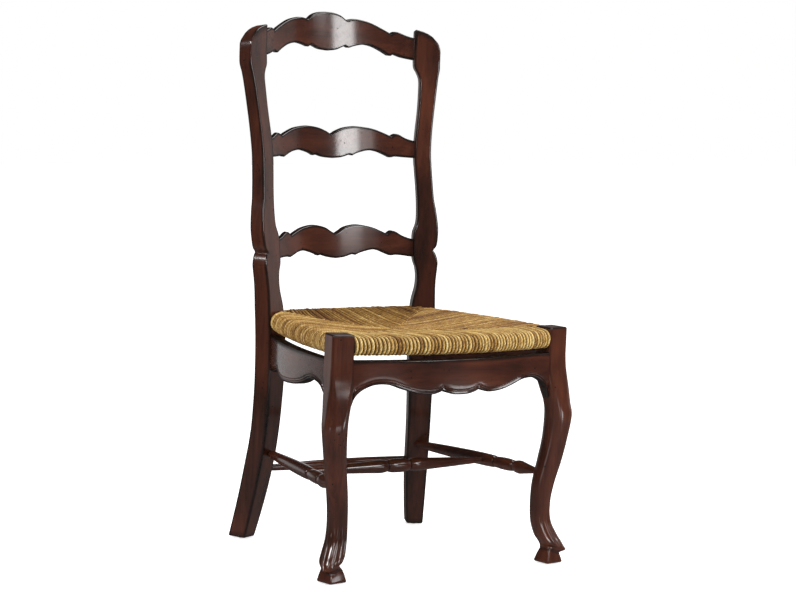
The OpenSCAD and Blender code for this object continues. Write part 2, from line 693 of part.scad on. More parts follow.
cross_reach = cross_half - cross_depth - 0.5;
cross_turning_half = concat(
    curve([[big_r + 1, 0], [big_r + 0.6, 14], [big_r - 1.5, bulb_half - 2.5]], turn_steps),
    [[big_r - 4, bulb_half]],
    curve([[big_r - 1.8, bulb_half + 3], [big_r + 0.4, bulb_half + 18], [big_r - 1.5, 0.375 * cross_half],
        [9.5, 0.626 * cross_half], [cross_end_r, cross_half - big_r - 4]], turn_steps),
    [[cross_end_r, cross_reach], [0, cross_reach]]);
module cross_stretcher() {
    color(wood)
        translate([0, -cross_y, stretcher_z])
            rotate([0, 90, 0])
                rotate_extrude($fn = 64)
                    polygon(concat(reversed([for (p = cross_turning_half) [p[0], -p[1]]]), cross_turning_half));
}
rear_end = post_place(-24 * post_scale, post_face(rear_stretcher_z) + post_leg_t / 2);
rear_reach = rear_end[0] + socket_depth;
rear_turning_half = concat(
    curve([[10, 0], [9.6, 0.35 * rear_end[0]], [8.2, 0.69 * rear_end[0]], [end_r, rear_end[0] - 1]],
        turn_steps),
    [[end_r, rear_reach], [0, rear_reach]]);
module at_rear_stretcher() {
    translate([0, rear_end[1], rear_stretcher_z])
        rotate([0, 90, 0])
            children();
}
module rear_stretcher() {
    color(wood)
        at_rear_stretcher()
            rotate_extrude($fn = 64)
                polygon(concat(reversed([for (p = rear_turning_half) [p[0], -p[1]]]), rear_turning_half));
}

// ---- Legs and posts with their sockets ----
module front_leg(side) {
    color(wood)
        difference() {
            at_leg(side) leg_blank();
            at_leg(side) front_tenon(fit);
            along_side(side) side_tenon_front(fit);
            front_rail_bar(fit, 0.1);
            side_rail_bar(side, fit, 0.1);
            at_side_stretcher(side)
                translate([0, 0, side_inner - leg_socket_room])
                    cylinder(h = leg_socket_room + leg_socket + past, r = end_r + fit, $fn = 48);
            at_leg(side) glide_hole(sole_mid[0], sole_mid[1]);
        }
}
module rear_post(side) {
    color(wood)
        difference() {
            at_post(side) post_blank();
            for (s = [crest_at, middle_at, lower_at])
                at_post(side) slat_tenon_bar(s, fit);
            along_side(side) side_tenon_rear(fit);
            side_rail_bar(side, fit, 0.1);
            rear_rail_bar(fit, 0.5);
            at_side_stretcher(side)
                translate([0, 0, -socket_depth - past])
                    cylinder(h = socket_depth + room / 2, r = end_r + fit, $fn = 48);
            at_rear_stretcher()
                translate([0, 0, side > 0 ? 0 : -rear_reach - past])
                    cylinder(h = rear_reach + past, r = end_r + fit, $fn = 48);
            at_post(side) glide_hole(foot_mid, post_sweep + post_leg_t / 2);
        }
}

// ---- Foot glides ----
foot_mid = 7;
nail_d = 3;
nail_l = 12;
module glide_hole(a, b) {
    translate([a, b, 0]) cylinder(h = glide_h + nail_l + 1, d = nail_d + 2 * fit, $fn = 24);
}
module glide(a, b) {
    color(metal)
        translate([a, b, 0])
            union() {
                rotate_extrude($fn = 48)
                    polygon([[0, 0], [glide_d / 2 - 2, 0], [glide_d / 2, 1.6], [glide_d / 2, glide_h],
                        [0, glide_h]]);
                cylinder(h = glide_h + nail_l, d = nail_d, $fn = 24);
            }
}
module glide_front(side) at_leg(side) glide(sole_mid[0], sole_mid[1]);
module glide_rear(side) at_post(side) glide(foot_mid, post_sweep + post_leg_t / 2);

rear_post(-1);  // rear_post_left
rear_post(1);  // rear_post_right
crest_slat();
middle_slat();
lower_slat();
front_leg(-1);  // front_leg_left
front_leg(1);  // front_leg_right
front_apron();
side_apron(-1);  // side_apron_left
side_apron(1);  // side_apron_right
front_seat_rail();
rear_seat_rail();
side_seat_rail(-1);  // side_seat_rail_left
side_seat_rail(1);  // side_seat_rail_right
rush_seat();
side_stretcher(-1);  // side_stretcher_left
side_stretcher(1);  // side_stretcher_right
cross_stretcher();
rear_stretcher();
glide_front(-1);  // glide_front_left
glide_front(1);  // glide_front_right
glide_rear(-1);  // glide_rear_left
glide_rear(1);  // glide_rear_right
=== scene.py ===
import math
import random

import bpy
from mathutils import Matrix, Vector, noise


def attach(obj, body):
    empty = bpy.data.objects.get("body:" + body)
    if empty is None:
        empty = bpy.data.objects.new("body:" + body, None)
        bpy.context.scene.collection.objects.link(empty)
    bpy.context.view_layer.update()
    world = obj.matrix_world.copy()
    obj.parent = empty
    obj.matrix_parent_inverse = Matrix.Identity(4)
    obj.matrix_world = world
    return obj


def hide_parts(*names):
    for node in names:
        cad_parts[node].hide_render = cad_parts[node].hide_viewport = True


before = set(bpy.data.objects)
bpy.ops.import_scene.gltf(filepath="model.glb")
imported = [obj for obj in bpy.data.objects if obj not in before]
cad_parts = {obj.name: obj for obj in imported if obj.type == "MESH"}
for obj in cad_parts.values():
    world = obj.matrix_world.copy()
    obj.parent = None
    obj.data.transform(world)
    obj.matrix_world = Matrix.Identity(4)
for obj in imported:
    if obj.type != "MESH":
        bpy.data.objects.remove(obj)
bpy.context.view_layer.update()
random.seed(11)
print("frame loaded", len(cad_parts), "nodes")

# Lengths in this script are millimetres, and meshes are made in metres.
mm = 0.001


cameraSettings = dict(
    place=(-2.77679, -4.51885, 1.10713),
    azimuth=-31.849,
    elevation=6.2251,
    roll=2.2287,
    lens=115.93,
    sensor=36.0,
    clipEnd=60,
)


def makeCamera(s):
    a, e, r = (math.radians(s[k]) for k in ("azimuth", "elevation", "roll"))
    right0 = Vector((math.cos(a), math.sin(a), 0))
    up0 = Vector((-math.sin(a) * math.sin(e), math.cos(a) * math.sin(e), math.cos(e)))
    right = right0 * math.cos(r) + up0 * math.sin(r)
    up = up0 * math.cos(r) - right0 * math.sin(r)
    back = right.cross(up)
    bpy.ops.object.camera_add(location=s["place"])
    camera = bpy.context.object
    camera.name = "viewCamera"
    turn = Matrix((right, up, back)).transposed()
    camera.matrix_world = Matrix.Translation(s["place"]) @ turn.to_4x4()
    camera.data.sensor_width = s["sensor"]
    camera.data.sensor_fit = "HORIZONTAL"
    camera.data.lens = s["lens"]
    camera.data.clip_end = s["clipEnd"]
    bpy.context.scene.camera = camera


makeCamera(cameraSettings)
print("camera made")


class Wave:
    # One output of a shader's node, for sums in Python
    def __init__(self, kit, socket):
        self.kit = kit
        self.socket = socket

    def maths(self, operation, other, swap=False):
        a, b = (other, self) if swap else (self, other)
        return self.kit.node("ShaderNodeMath", {"operation": operation}, {0: a, 1: b})

    def __add__(self, other):
        return self.maths("ADD", other)

    def __radd__(self, other):
        return self.maths("ADD", other, True)

    def __sub__(self, other):
        return self.maths("SUBTRACT", other)

    def __rsub__(self, other):
        return self.maths("SUBTRACT", other, True)

    def __mul__(self, other):
        return self.maths("MULTIPLY", other)

    def __rmul__(self, other):
        return self.maths("MULTIPLY", other, True)

    def sine(self):
        return self.kit.node("ShaderNodeMath", {"operation": "SINE"}, {0: self})

    def larger(self, other):
        return self.maths("MAXIMUM", other)

    def between(self, low, high, outLow=0.0, outHigh=1.0):
        return self.kit.node(
            "ShaderNodeMapRange",
            {"clamp": True, "interpolation_type": "SMOOTHSTEP"},
            {"Value": self, "From Min": low, "From Max": high, "To Min": outLow, "To Max": outHigh},
        )


class Shader:
    # The nodes of a material or a world
    def __init__(self, owner):
        self.owner = owner
        owner.use_nodes = True
        self.tree = owner.node_tree

    def node(self, kind, settings=None, inputs=None, output=0):
        made = self.tree.nodes.new(kind)
        for key, value in (settings or {}).items():
            if key == "stops":
                self.setStops(made.color_ramp.elements, value)
            else:
                setattr(made, key, value)
        for key, value in (inputs or {}).items():
            self.feed(made.inputs[key], value)
        return Wave(self, made.outputs[output])

    def setStops(self, elements, stops):
        while len(elements) < len(stops):
            elements.new(0.5)
        for element, (place, colour) in zip(elements, stops):
            element.position = place
            element.color = (*colour, 1)

    def feed(self, socket, value):
        if isinstance(value, Wave):
            self.tree.links.new(value.socket, socket)
        else:
            socket.default_value = value

    def coords(self, scale):
        # The piece's own coordinates, scaled alike on each axis or by three numbers
        if not isinstance(scale, (list, tuple)):
            scale = (scale, scale, scale)
        raw = self.node("ShaderNodeTexCoord", output="Object")
        return self.node("ShaderNodeMapping", None, {"Vector": raw, "Scale": scale})

    def noise(self, where, detail=3.0, roughness=0.55, distortion=0.0):
        # where: a vector, or the scale for the piece's own coordinates
        vector = where if isinstance(where, Wave) else self.coords(where)
        values = {"Vector": vector, "Scale": 1.0, "Detail": detail, "Roughness": roughness}
        return self.node("ShaderNodeTexNoise", None, {**values, "Distortion": distortion})

    def ramp(self, value, stops):
        return self.node("ShaderNodeValToRGB", {"stops": stops}, {0: value})

    def mix(self, factor, a, b):
        return self.node("ShaderNodeMix", {"data_type": "RGBA"}, {0: factor, 6: a, 7: b}, 2)

    def split(self, vector, axis):
        return self.node("ShaderNodeSeparateXYZ", None, {0: vector}, axis)

    def vector(self, operation, inputs, output):
        return self.node("ShaderNodeVectorMath", {"operation": operation}, inputs, output)

    def attribute(self, name):
        return self.node("ShaderNodeAttribute", {"attribute_name": name}, output="Fac")

    def bump(self, height, strength, distance):
        values = {"Height": height, "Strength": strength, "Distance": distance}
        return self.node("ShaderNodeBump", None, values)

    def surface(self, fixed=None, **varying):
        principled = self.tree.nodes["Principled BSDF"]
        for key, value in (fixed or {}).items():
            principled.inputs[key].default_value = value
        for key, value in varying.items():
            self.feed(principled.inputs[key.replace("_", " ")], value)
        return self.owner


def newShader(name):
    return Shader(bpy.data.materials.new(name))


woodSettings = dict(
    dark=(0.020, 0.0056, 0.0030),
    middle=(0.050, 0.0132, 0.0066),
    light=(0.092, 0.0245, 0.0115),
    # edge is the near-black of the painted shade on edges and in hollows
    edge=(0.0045, 0.0028, 0.0022),
    speck=(0.004, 0.003, 0.003),
    toneAt=(0.34, 0.5, 0.68),
    acrossGrain=34.0,
    alongGrain=2.6,
    fineGrain=7,  # times finer than the broad grain
    cloud=(9.0, 9.0, 7.0),
    # the scale of the noise that varies the painted edge shade
    edgeShadeNoise=60.0,
    edgeShadeRange=(0.78, 0.98),  # how dark the painted edge shade is, at its least and most
    # how far hollows are darkened with painted shade
    hollowShade=0.9,
    speckScale=70.0,
    speckPatches=16.0,
    speckDark=0.85,
    smear=(150.0, 150.0, 110.0),
    smearCoat=(0.78, 1.0),
    roughness=(0.5, 0.64),
    coat=1.0,
    fixed={"Coat Roughness": 0.14, "Coat IOR": 1.5, "Specular IOR Level": 0.06},
    poreStrength=0.14,
    poreDepth=0.0005,
)


def woodMaterial(name, grain, grazing, s):
    # grain is the axis it runs along, and grazing how far the gloss is damped in a slanting view
    k = newShader(name)
    scale = [s["acrossGrain"]] * 3
    scale["XYZ".index(grain)] = s["alongGrain"]
    broad = k.noise(scale, 4.0, 0.6, 0.6)
    fine = k.noise([c * s["fineGrain"] for c in scale], 3.0, 0.65)
    cloud = k.noise(s["cloud"], 2.0, 0.5)
    tone = broad * 0.5 + fine * 0.2 + cloud * 0.42 - 0.06
    colour = k.ramp(tone, list(zip(s["toneAt"], (s["dark"], s["middle"], s["light"]))))

    # Painted shade: the edge mark darkens rounded edges, the faces beside them and the boards'
    # narrow faces, more or less by noise
    edgeShade = k.attribute("edge").between(0.05, 0.8)
    edgeShadeNoise = k.noise(s["edgeShadeNoise"], 3.0, 0.6).between(0.35, 0.75)
    least, most = s["edgeShadeRange"]
    colour = k.mix(edgeShade * (edgeShadeNoise * (most - least) + least), colour, (*s["edge"], 1))
    # Painted shade: grooves, flutes and carving are darkened by the hollow mark
    hollow = k.attribute("hollow")
    colour = k.mix(hollow * s["hollowShade"], colour, (*s["edge"], 1))

    speckAt = k.coords(s["speckScale"])
    cells = k.node("ShaderNodeTexVoronoi", None, {"Vector": speckAt, "Scale": 1.0})
    dots = cells.between(0.15, 0.08) * k.noise(s["speckPatches"]).between(0.5, 0.58)
    colour = k.mix(dots * s["speckDark"], colour, (*s["speck"], 1))

    smear = k.noise(s["smear"], 4.0, 0.7).between(0.3, 0.55, *s["smearCoat"])
    slant = k.node("ShaderNodeLayerWeight", None, {"Blend": 0.5}, "Facing").between(0.45, 0.75)
    damped = 1 - slant * (edgeShade * (0.97 - grazing) + grazing)
    kept = (1 - hollow * 0.5) * (1 - dots * 0.8) * (1 - edgeShade * 0.3)
    pores = fine * 0.6 + broad * 0.25 - dots * 0.5
    return k.surface(
        s["fixed"],
        Base_Color=colour,
        Roughness=fine.between(0.3, 0.7, *s["roughness"]) + dots * 0.2 + hollow * 0.15,
        Coat_Weight=smear * s["coat"] * kept * damped,
        Normal=k.bump(pores, s["poreStrength"], s["poreDepth"]),
    )


uprightWood = woodMaterial("uprightWood", "Z", 0.85, woodSettings)
crossWood = woodMaterial("crossWood", "X", 0.3, woodSettings)
deepWood = woodMaterial("deepWood", "Y", 0.3, woodSettings)

railSettings = dict(
    dark=(0.12, 0.07, 0.035),
    light=(0.26, 0.16, 0.085),
    grain=40.0,
    roughness=(0.55, 0.8),
    bump=(0.3, 0.001),
)
glideSettings = dict(
    dark=(0.16, 0.15, 0.14),
    light=(0.42, 0.40, 0.37),
    scuff=300.0,
    roughness=(0.3, 0.6),
    bump=(0.2, 0.0003),
)


def railMaterial(s):
    k = newShader("railWood")
    grain = k.noise(s["grain"], 4.0, 0.6)
    colour = k.ramp(grain, [(0.35, s["dark"]), (0.65, s["light"])])
    rough = grain.between(0.3, 0.7, *s["roughness"])
    return k.surface(Base_Color=colour, Roughness=rough, Normal=k.bump(grain, *s["bump"]))


def glideMaterial(s):
    k = newShader("glideSteel")
    scuff = k.noise(s["scuff"], 4.0, 0.7)
    colour = k.ramp(scuff, [(0.3, s["dark"]), (0.7, s["light"])])
    rough = scuff.between(0.3, 0.7, *s["roughness"])
    dents = k.bump(scuff, *s["bump"])
    return k.surface({"Metallic": 1.0}, Base_Color=colour, Roughness=rough, Normal=dents)


railWood = railMaterial(railSettings)
glideSteel = glideMaterial(glideSettings)
print("materials made")


roundSteps = (0.0, 0.423, 0.732, 1.0)  # where lines lie across a rounded edge


def spline(points, steps):
    # A smooth line through all the points
    made = []
    last = len(points) - 1
    for i in range(last):
        near = (points[max(i - 1, 0)], points[i], points[i + 1], points[min(i + 2, last)])
        for k in range(steps):
            t = k / steps
            spot = []
            for p, q, r, w in zip(*near):
                bend, twist = 2 * p - 5 * q + 4 * r - w, 3 * q - p - 3 * r + w
                spot.append(0.5 * (2 * q + (r - p) * t + bend * t * t + twist * t**3))
            made.append(tuple(spot))
    return made + [tuple(points[-1])]


def joined(*parts):
    # Smooth lines set end to end, with a corner between each two
    return [point for part in parts for point in spline(part, 5)]


def along(points, x):
    # The height of a line of points at x
    for p, q in zip(points, points[1:]):
        if x <= q[0]:
            break
    width = q[0] - p[0]
    return q[1] if abs(width) < 1e-9 else p[1] + (q[1] - p[1]) * (x - p[0]) / width


def swapped(points):
    return [(b, a) for a, b in points]


def thinned(values, gap):
    # The values in order, without those that are closer than gap
    kept = []
    for v in sorted(values):
        if not kept or v - kept[-1] > gap:
            kept.append(v)
    return kept


def blend(a, b, t):
    return a + (b - a) * t


def turned(a, b, angle):
    c, s = math.cos(angle), math.sin(angle)
    return a * c - b * s, a * s + b * c


def smooth(low, high, x):
    t = min(1.0, max(0.0, (x - low) / (high - low)))
    return t * t * (3 - 2 * t)


def edgeLines(radius, inner):
    # Lines across a side, each a share of the side and an offset, closer in the rounded edges
    lines = [(0.0, t * radius) for t in roundSteps] + [(0.0, radius + gap) for gap in (1.4, 3.2)]
    lines += [(s, (1 - s) * (radius + 4) - s * (radius + 4)) for s in inner]
    lines += [(1.0, -radius - gap) for gap in (3.2, 1.4)]
    return lines + [(1.0, -t * radius) for t in reversed(roundSteps)]


def lineValue(low, high, line):
    return low + line[0] * (high - low) + line[1]


def rounded(p, low, high, radius, board=False):
    # A point on the surface of a box, drawn in to the box's rounded form, with its share of edge:
    # painted shade on the rounded edges and a few millimetres of the faces beside them.
    # The faces at both ends of a board's first axis, its narrow faces, count as edge all over and
    # get the painted shade in full.
    core = [min(max(c, a + radius), b - radius) for c, a, b in zip(p, low, high)]
    off = [c - q for c, q in zip(p, core)]
    length = math.sqrt(sum(d * d for d in off))
    if length < 1e-6:
        return p, 0.0
    near = sorted(min(c - a, b - c) for c, a, b in zip(p, low, high))[1] - radius
    bent = (1 - max(abs(d) for d in off) / length) / 0.2929  # 1 halfway round the edge
    edge = bent + 0.75 * (1 - smooth(0.4, 3.4, near))
    if board and abs(off[0]) > 0.7 * length:
        edge = 1.0
    return [q + d * radius / length for q, d in zip(core, off)], min(1.0, edge)


def lattice(us, vs, ws, place):
    # The skin of a box on a grid of lines. place gives a point with its shares of edge and hollow.
    index, verts, marks, faces = {}, [], [], []

    def vert(i, j, k):
        if (i, j, k) not in index:
            index[i, j, k] = len(verts)
            point, edge, hollow = place(us[i], vs[j], ws[k])
            verts.append(point)
            marks.append((edge, hollow))
        return index[i, j, k]

    last = [len(lines) - 1 for lines in (us, vs, ws)]
    for axis in range(3):
        for end in (0, last[axis]):
            others = [n for n in range(3) if n != axis]
            for i in range(last[others[0]]):
                for j in range(last[others[1]]):
                    corners = [(i, j), (i + 1, j), (i + 1, j + 1), (i, j + 1)]
                    faces.append([vert(*corner[:axis], end, *corner[axis:]) for corner in corners])
    return verts, faces, marks


def ringFaces(first, last, count):
    # The faces between rings of count points, from the first ring to the last
    faces = []
    for i in range(first, last, count):
        for k in range(count):
            j = (k + 1) % count
            faces.append([i + k, i + j, i + count + j, i + count + k])
    return faces


def tube(verts, count, ends):
    # The faces of a row of rings, with a fan to one more point at each end
    last = len(verts) - count
    faces = ringFaces(0, last, count)
    for start, middle in zip((0, last), ends):
        verts.append(tuple(middle))
        faces += [[start + k, start + (k + 1) % count, len(verts) - 1] for k in range(count)]
    return faces


def makePiece(name, form, material, nodes, smoothBelow=60, labels=("edge", "hollow")):
    # form: points, faces, and each point's marks, which become attributes named by labels
    verts, faces, marks = form
    mesh = bpy.data.meshes.new(name)
    mesh.from_pydata([[c * mm for c in v] for v in verts], [], faces)
    if marks:
        for column, label in enumerate(labels):
            layer = mesh.attributes.new(label, "FLOAT", "POINT")
            layer.data.foreach_set("value", [m[column] for m in marks])
    piece = bpy.data.objects.new(name, mesh)
    bpy.context.collection.objects.link(piece)
    bpy.ops.object.select_all(action="DESELECT")
    piece.select_set(True)
    bpy.context.view_layer.objects.active = piece
    bpy.ops.object.mode_set(mode="EDIT")
    bpy.ops.mesh.select_all(action="SELECT")
    bpy.ops.mesh.normals_make_consistent(inside=False)
    bpy.ops.object.mode_set(mode="OBJECT")
    bpy.ops.object.shade_smooth_by_angle(angle=math.radians(smoothBelow))
    mesh.materials.append(material)
    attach(piece, "root")
    if nodes:
        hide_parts(*nodes)
    return piece


def makeWood(node, form, material, smoothBelow=60):
    makePiece(node + "Shaped", form, material, [node], smoothBelow)


# A post's own frame is turned about its middle: u runs to the outer side and v to the back.
post = dict(
    x=180.0,
    y=135.0,
    turn=24.0,
    height=1086.0,
    foot=3.0,
    legDepth=42.0,
    crownSpan=(-31.0, 26.5),
    crownBack=73.0,
    crownBelow=27,  # how far below the top the line lies that the crown tilts about
    crownTilt=8.0,
    crownFrom=985.0,
    round=3.6,
    edgeFull=(1030, 1060),  # heights between which the painted edge shade grows to its full width
    edgeBelowCrown=0.7,
    shoulder=(12, 21),  # how far out the shoulder's edges get less painted edge shade
    shoulderFrom=(1000, 1025),
    shoulderLess=0.7,
)
post["outer"] = (
    [(25, 3)]
    + spline([
        (25.5, 100), (26.5, 300), (27, 430), (25.5, 530), (28.4, 570), (29.6, 583), (28.4, 592),
        (26.0, 600), (23.2, 606),
    ], 4)
    + [(20.5, 609), (19.5, 611.5)]
    + spline([
        (20.5, 613.5), (26.5, 622), (29, 640), (29.2, 662), (24, 697), (18.5, 724), (13, 780),
        (10, 820), (12, 872), (16.5, 922), (21.5, 970), (26, 1008), (26.5, 1036), (26.5, 1066),
    ], 4)
    + [(26.5, 1096)]
)
post["inner"] = (
    [(-11, 3)]
    + spline([
        (-12.9, 20), (-16.5, 60), (-21, 130), (-23, 220), (-25, 300), (-28.5, 400), (-27.5, 460),
        (-24, 500), (-17, 530), (-15.5, 552), (-18, 572), (-24, 590), (-25, 620), (-25, 646),
        (-18, 668), (-17, 695), (-19, 735), (-24, 785), (-26, 815), (-25, 852), (-20, 905),
        (-18, 945), (-18, 975), (-24, 992), (-30, 1004), (-31, 1030), (-31, 1066),
    ], 4)
    + [(-31, 1096)]
)
post["crown"] = sorted(spline([
    (26.5, -47), (24.5, -37), (20, -28), (12, -18.5), (-6, -7), (-31, 0),
], 4))
post["front"] = spline([
    (3, 50), (100, 26), (200, 6.5), (290, -2), (380, -4), (470, 0), (600, 14.45), (700, 28.9),
    (820, 44.2), (950, 62.05), (988, 68.5), (1020, 72.4), (1055, 73.4), (1096, 73.6),
], 3)
post["depth"] = [(3, 44), (165, 44), (240, 41), (500, 41), (610, 36.5), (760, 33), (1096, 31)]


def postPlace(u, v):
    # Where a point of the right post's own frame lies
    c, s = math.cos(math.radians(post["turn"])), math.sin(math.radians(post["turn"]))
    return post["x"] + u * c + v * s, post["y"] - u * s + v * c


def postFace(z):
    return along(post["front"], z)


def postCrown(u, v):
    tilt = math.radians(post["crownTilt"])
    pivotY, pivotZ = post["crownBack"], post["height"] - post["crownBelow"]
    inner, outer = post["crownSpan"]
    crown = along(post["crown"], min(max(u, inner), outer)) + post["height"]
    return pivotZ + (crown - pivotZ) / math.cos(tilt) - (v - pivotY) * math.tan(tilt)


def makePost(side, name, s):
    outer, inner = swapped(s["outer"]), swapped(s["inner"])
    r = s["round"]
    stations = thinned([z for z, _ in outer + inner if s["foot"] + 6 < z < s["height"] - 6], 1.6)
    zLines = [(0.0, t) for t in (0.0, 0.8, 1.6, 3.0)] + [(0.0, z - s["foot"]) for z in stations]
    zLines += [(1.0, -t * r) for t in reversed(roundSteps)]
    across = edgeLines(r, (0.25, 0.5, 0.75))
    depth = edgeLines(r, (0.35, 0.65))

    def place(uLine, vLine, zLine):
        z = lineValue(s["foot"], s["height"], zLine)
        u0, u1 = along(inner, z), along(outer, z)
        v0 = postFace(z)
        v1 = v0 + along(s["depth"], z)
        raw = [lineValue(u0, u1, uLine), lineValue(v0, v1, vLine), z]
        (u, v, z), edge = rounded(raw, (u0, v0, s["foot"]), (u1, v1, s["height"]), r)
        if z > s["crownFrom"]:
            share = (postCrown(u, v) - s["crownFrom"]) / (s["height"] - s["crownFrom"])
            z = s["crownFrom"] + (z - s["crownFrom"]) * share
        x, y = postPlace(u, v)
        # The painted edge shade is weaker below the crown and on the shoulder
        onShoulder = s["shoulderLess"] * smooth(*s["shoulder"], u) * smooth(*s["shoulderFrom"], z)
        edge *= blend(s["edgeBelowCrown"], 1.0, smooth(*s["edgeFull"], z)) * (1 - onShoulder)
        return (side * x, y, z), edge, 0.0

    makeWood(name, lattice(across, depth, zLines, place), uprightWood)


for side, name in ((-1, "rear_post_left"), (1, "rear_post_right")):
    makePost(side, name, post)
print("posts made")


# The slats are bent to one radius. A slat's top and bottom are drawn from its middle outwards,
# about its height z, and it ends in the posts at their own u, set back from their front.
slat = dict(radius=375.0, thick=16.0, lean=8.0, round=3.2, intoPost=7.0, lines=[8, 27, 40, 58, 92])
crest = dict(
    node="crest_slat",
    z=1050.0,
    u=-31.0,
    setback=13.6,
    top=joined(
        [(0, 66), (18, 64.5), (34, 59.5), (46, 51)],
        [(49, 49), (59, 52), (73, 52.5), (100, 46.5), (128, 33), (143, 24)],
        [(145, 23), (149, 27), (155, 28.5), (163, 26), (176, 20.5), (192, 16), (212, 12)],
    ),
    bottom=joined(
        [(0, -17), (20, -14.5), (34, -9), (42, -5.5)],
        [(48, -9), (52, -9.5), (64, -5.5), (84, -2), (104, -5.5), (122, -14), (137, -23.5)],
        [(142, -24), (148, -21), (165, -27), (188, -31.5), (212, -35)],
    ),
)
middle = dict(
    node="middle_slat",
    z=832.0,
    u=-26.0,
    setback=11.0,
    top=joined(
        [(0, 22.5), (12, 29.5), (30, 36.5), (50, 40), (66, 40.5), (96, 36.5), (120, 28),
         (134, 21.5)],
        [(136, 20.5), (141, 24.5), (147, 26.5), (153, 24.5), (165, 17.5), (182, 12.5), (204, 8)],
    ),
    bottom=joined(
        [(0, -28), (22, -26), (40, -20.5)],
        [(49, -22), (60, -16.5), (85, -10.5), (105, -13), (120, -19), (131, -24.5)],
        [(135, -24), (141, -22.5), (160, -23.5), (181, -24.5), (204, -25.5)],
    ),
)
lower = dict(
    node="lower_slat",
    z=617.0,
    u=-25.0,
    setback=11.0,
    top=joined(
        [(0, 26), (12, 33), (27, 41), (54, 45.5), (84, 41), (105, 33), (118, 26.5)],
        [(120, 26.5), (125, 31.5), (131, 33.5), (138, 31), (150, 23.5), (167, 17.5), (194, 12)],
    ),
    bottom=joined(
        [(0, -26), (20, -23.5), (38, -18)],
        [(47, -19.5), (58, -14.5), (84, -8), (100, -10), (113, -15.5), (124, -20)],
        [(128, -19.5), (135, -18.5), (150, -19.5), (166, -21.5), (194, -23)],
    ),
)


def makeSlat(form, s):
    r, z0 = s["round"], form["z"]
    endX, endY = postPlace(form["u"], postFace(z0) + form["setback"])
    middleY = endY + s["radius"] - math.sqrt(s["radius"] ** 2 - endX**2)
    lean = math.radians(s["lean"])
    xEnd = endX + s["intoPost"]
    half = thinned([x for x, _ in form["top"] + form["bottom"]] + s["lines"], 1.2)
    half = [x for x in half if 0 < x < xEnd - 3] + [xEnd]
    xLines = [-x for x in reversed(half)] + [0.0] + half
    up = edgeLines(r, (0.2, 0.4, 0.6, 0.8))
    through = edgeLines(r, (0.5,))

    def place(x, upLine, throughLine):
        low, high = along(form["bottom"], abs(x)) + z0, along(form["top"], abs(x)) + z0
        raw = [lineValue(low, high, upLine), lineValue(0, s["thick"], throughLine), 0.0]
        (z, d, _), edge = rounded(raw, (low, 0, -99), (high, s["thick"], 99), r, True)
        y = (math.sqrt((s["radius"] + d) ** 2 - x * x) - s["radius"]) / math.cos(lean)
        y += middleY + (z - z0) * math.tan(lean)
        return (x, y, z), edge, 0.0

    makeWood(form["node"], lattice(xLines, up, through, place), crossWood)


for form in (crest, middle, lower):
    makeSlat(form, slat)
print("slats made")


# A front leg's own frame is turned a little, and its knee and toe point out over the corner.
leg = dict(
    x=252.0,
    y=245.0,
    turn=9.0,
    height=492.0,
    blockWidth=47.0,
    blockLow=412.0,
    knee=310.0,
    kneeOut=50.0,
    ankle=128.0,
    ankleRadius=21.25,
    aside=5.5,
    toeOut=50.0,
    toe=30.0,
    sole=29.0,
    soleShift=14.0,
    foot=3.0,
    topRound=3.2,
    heelLift=8.0,
    heelRise=(4, 20),  # heights between which the heel's side is lifted
    heelFall=(24, 62),
    leftBaseTurn=-19.0,
    baseTurnEnds=(19, 27),
    fluteDepth=1.9,
    fluteWidth=17.5,  # to each side, in degrees
    fluteAngles=(-80, -40, 0, 40, 80),
    fluteRise=(31, 42),
    fluteFall=(76, 128),
    waistRise=(18.5, 21.5),  # the waist between hoof and base is darkened with painted shade
    waistFall=(25, 29),
)
blockReach = leg["blockWidth"] / 2 * (math.sqrt(2) * 0.8 + 0.2)


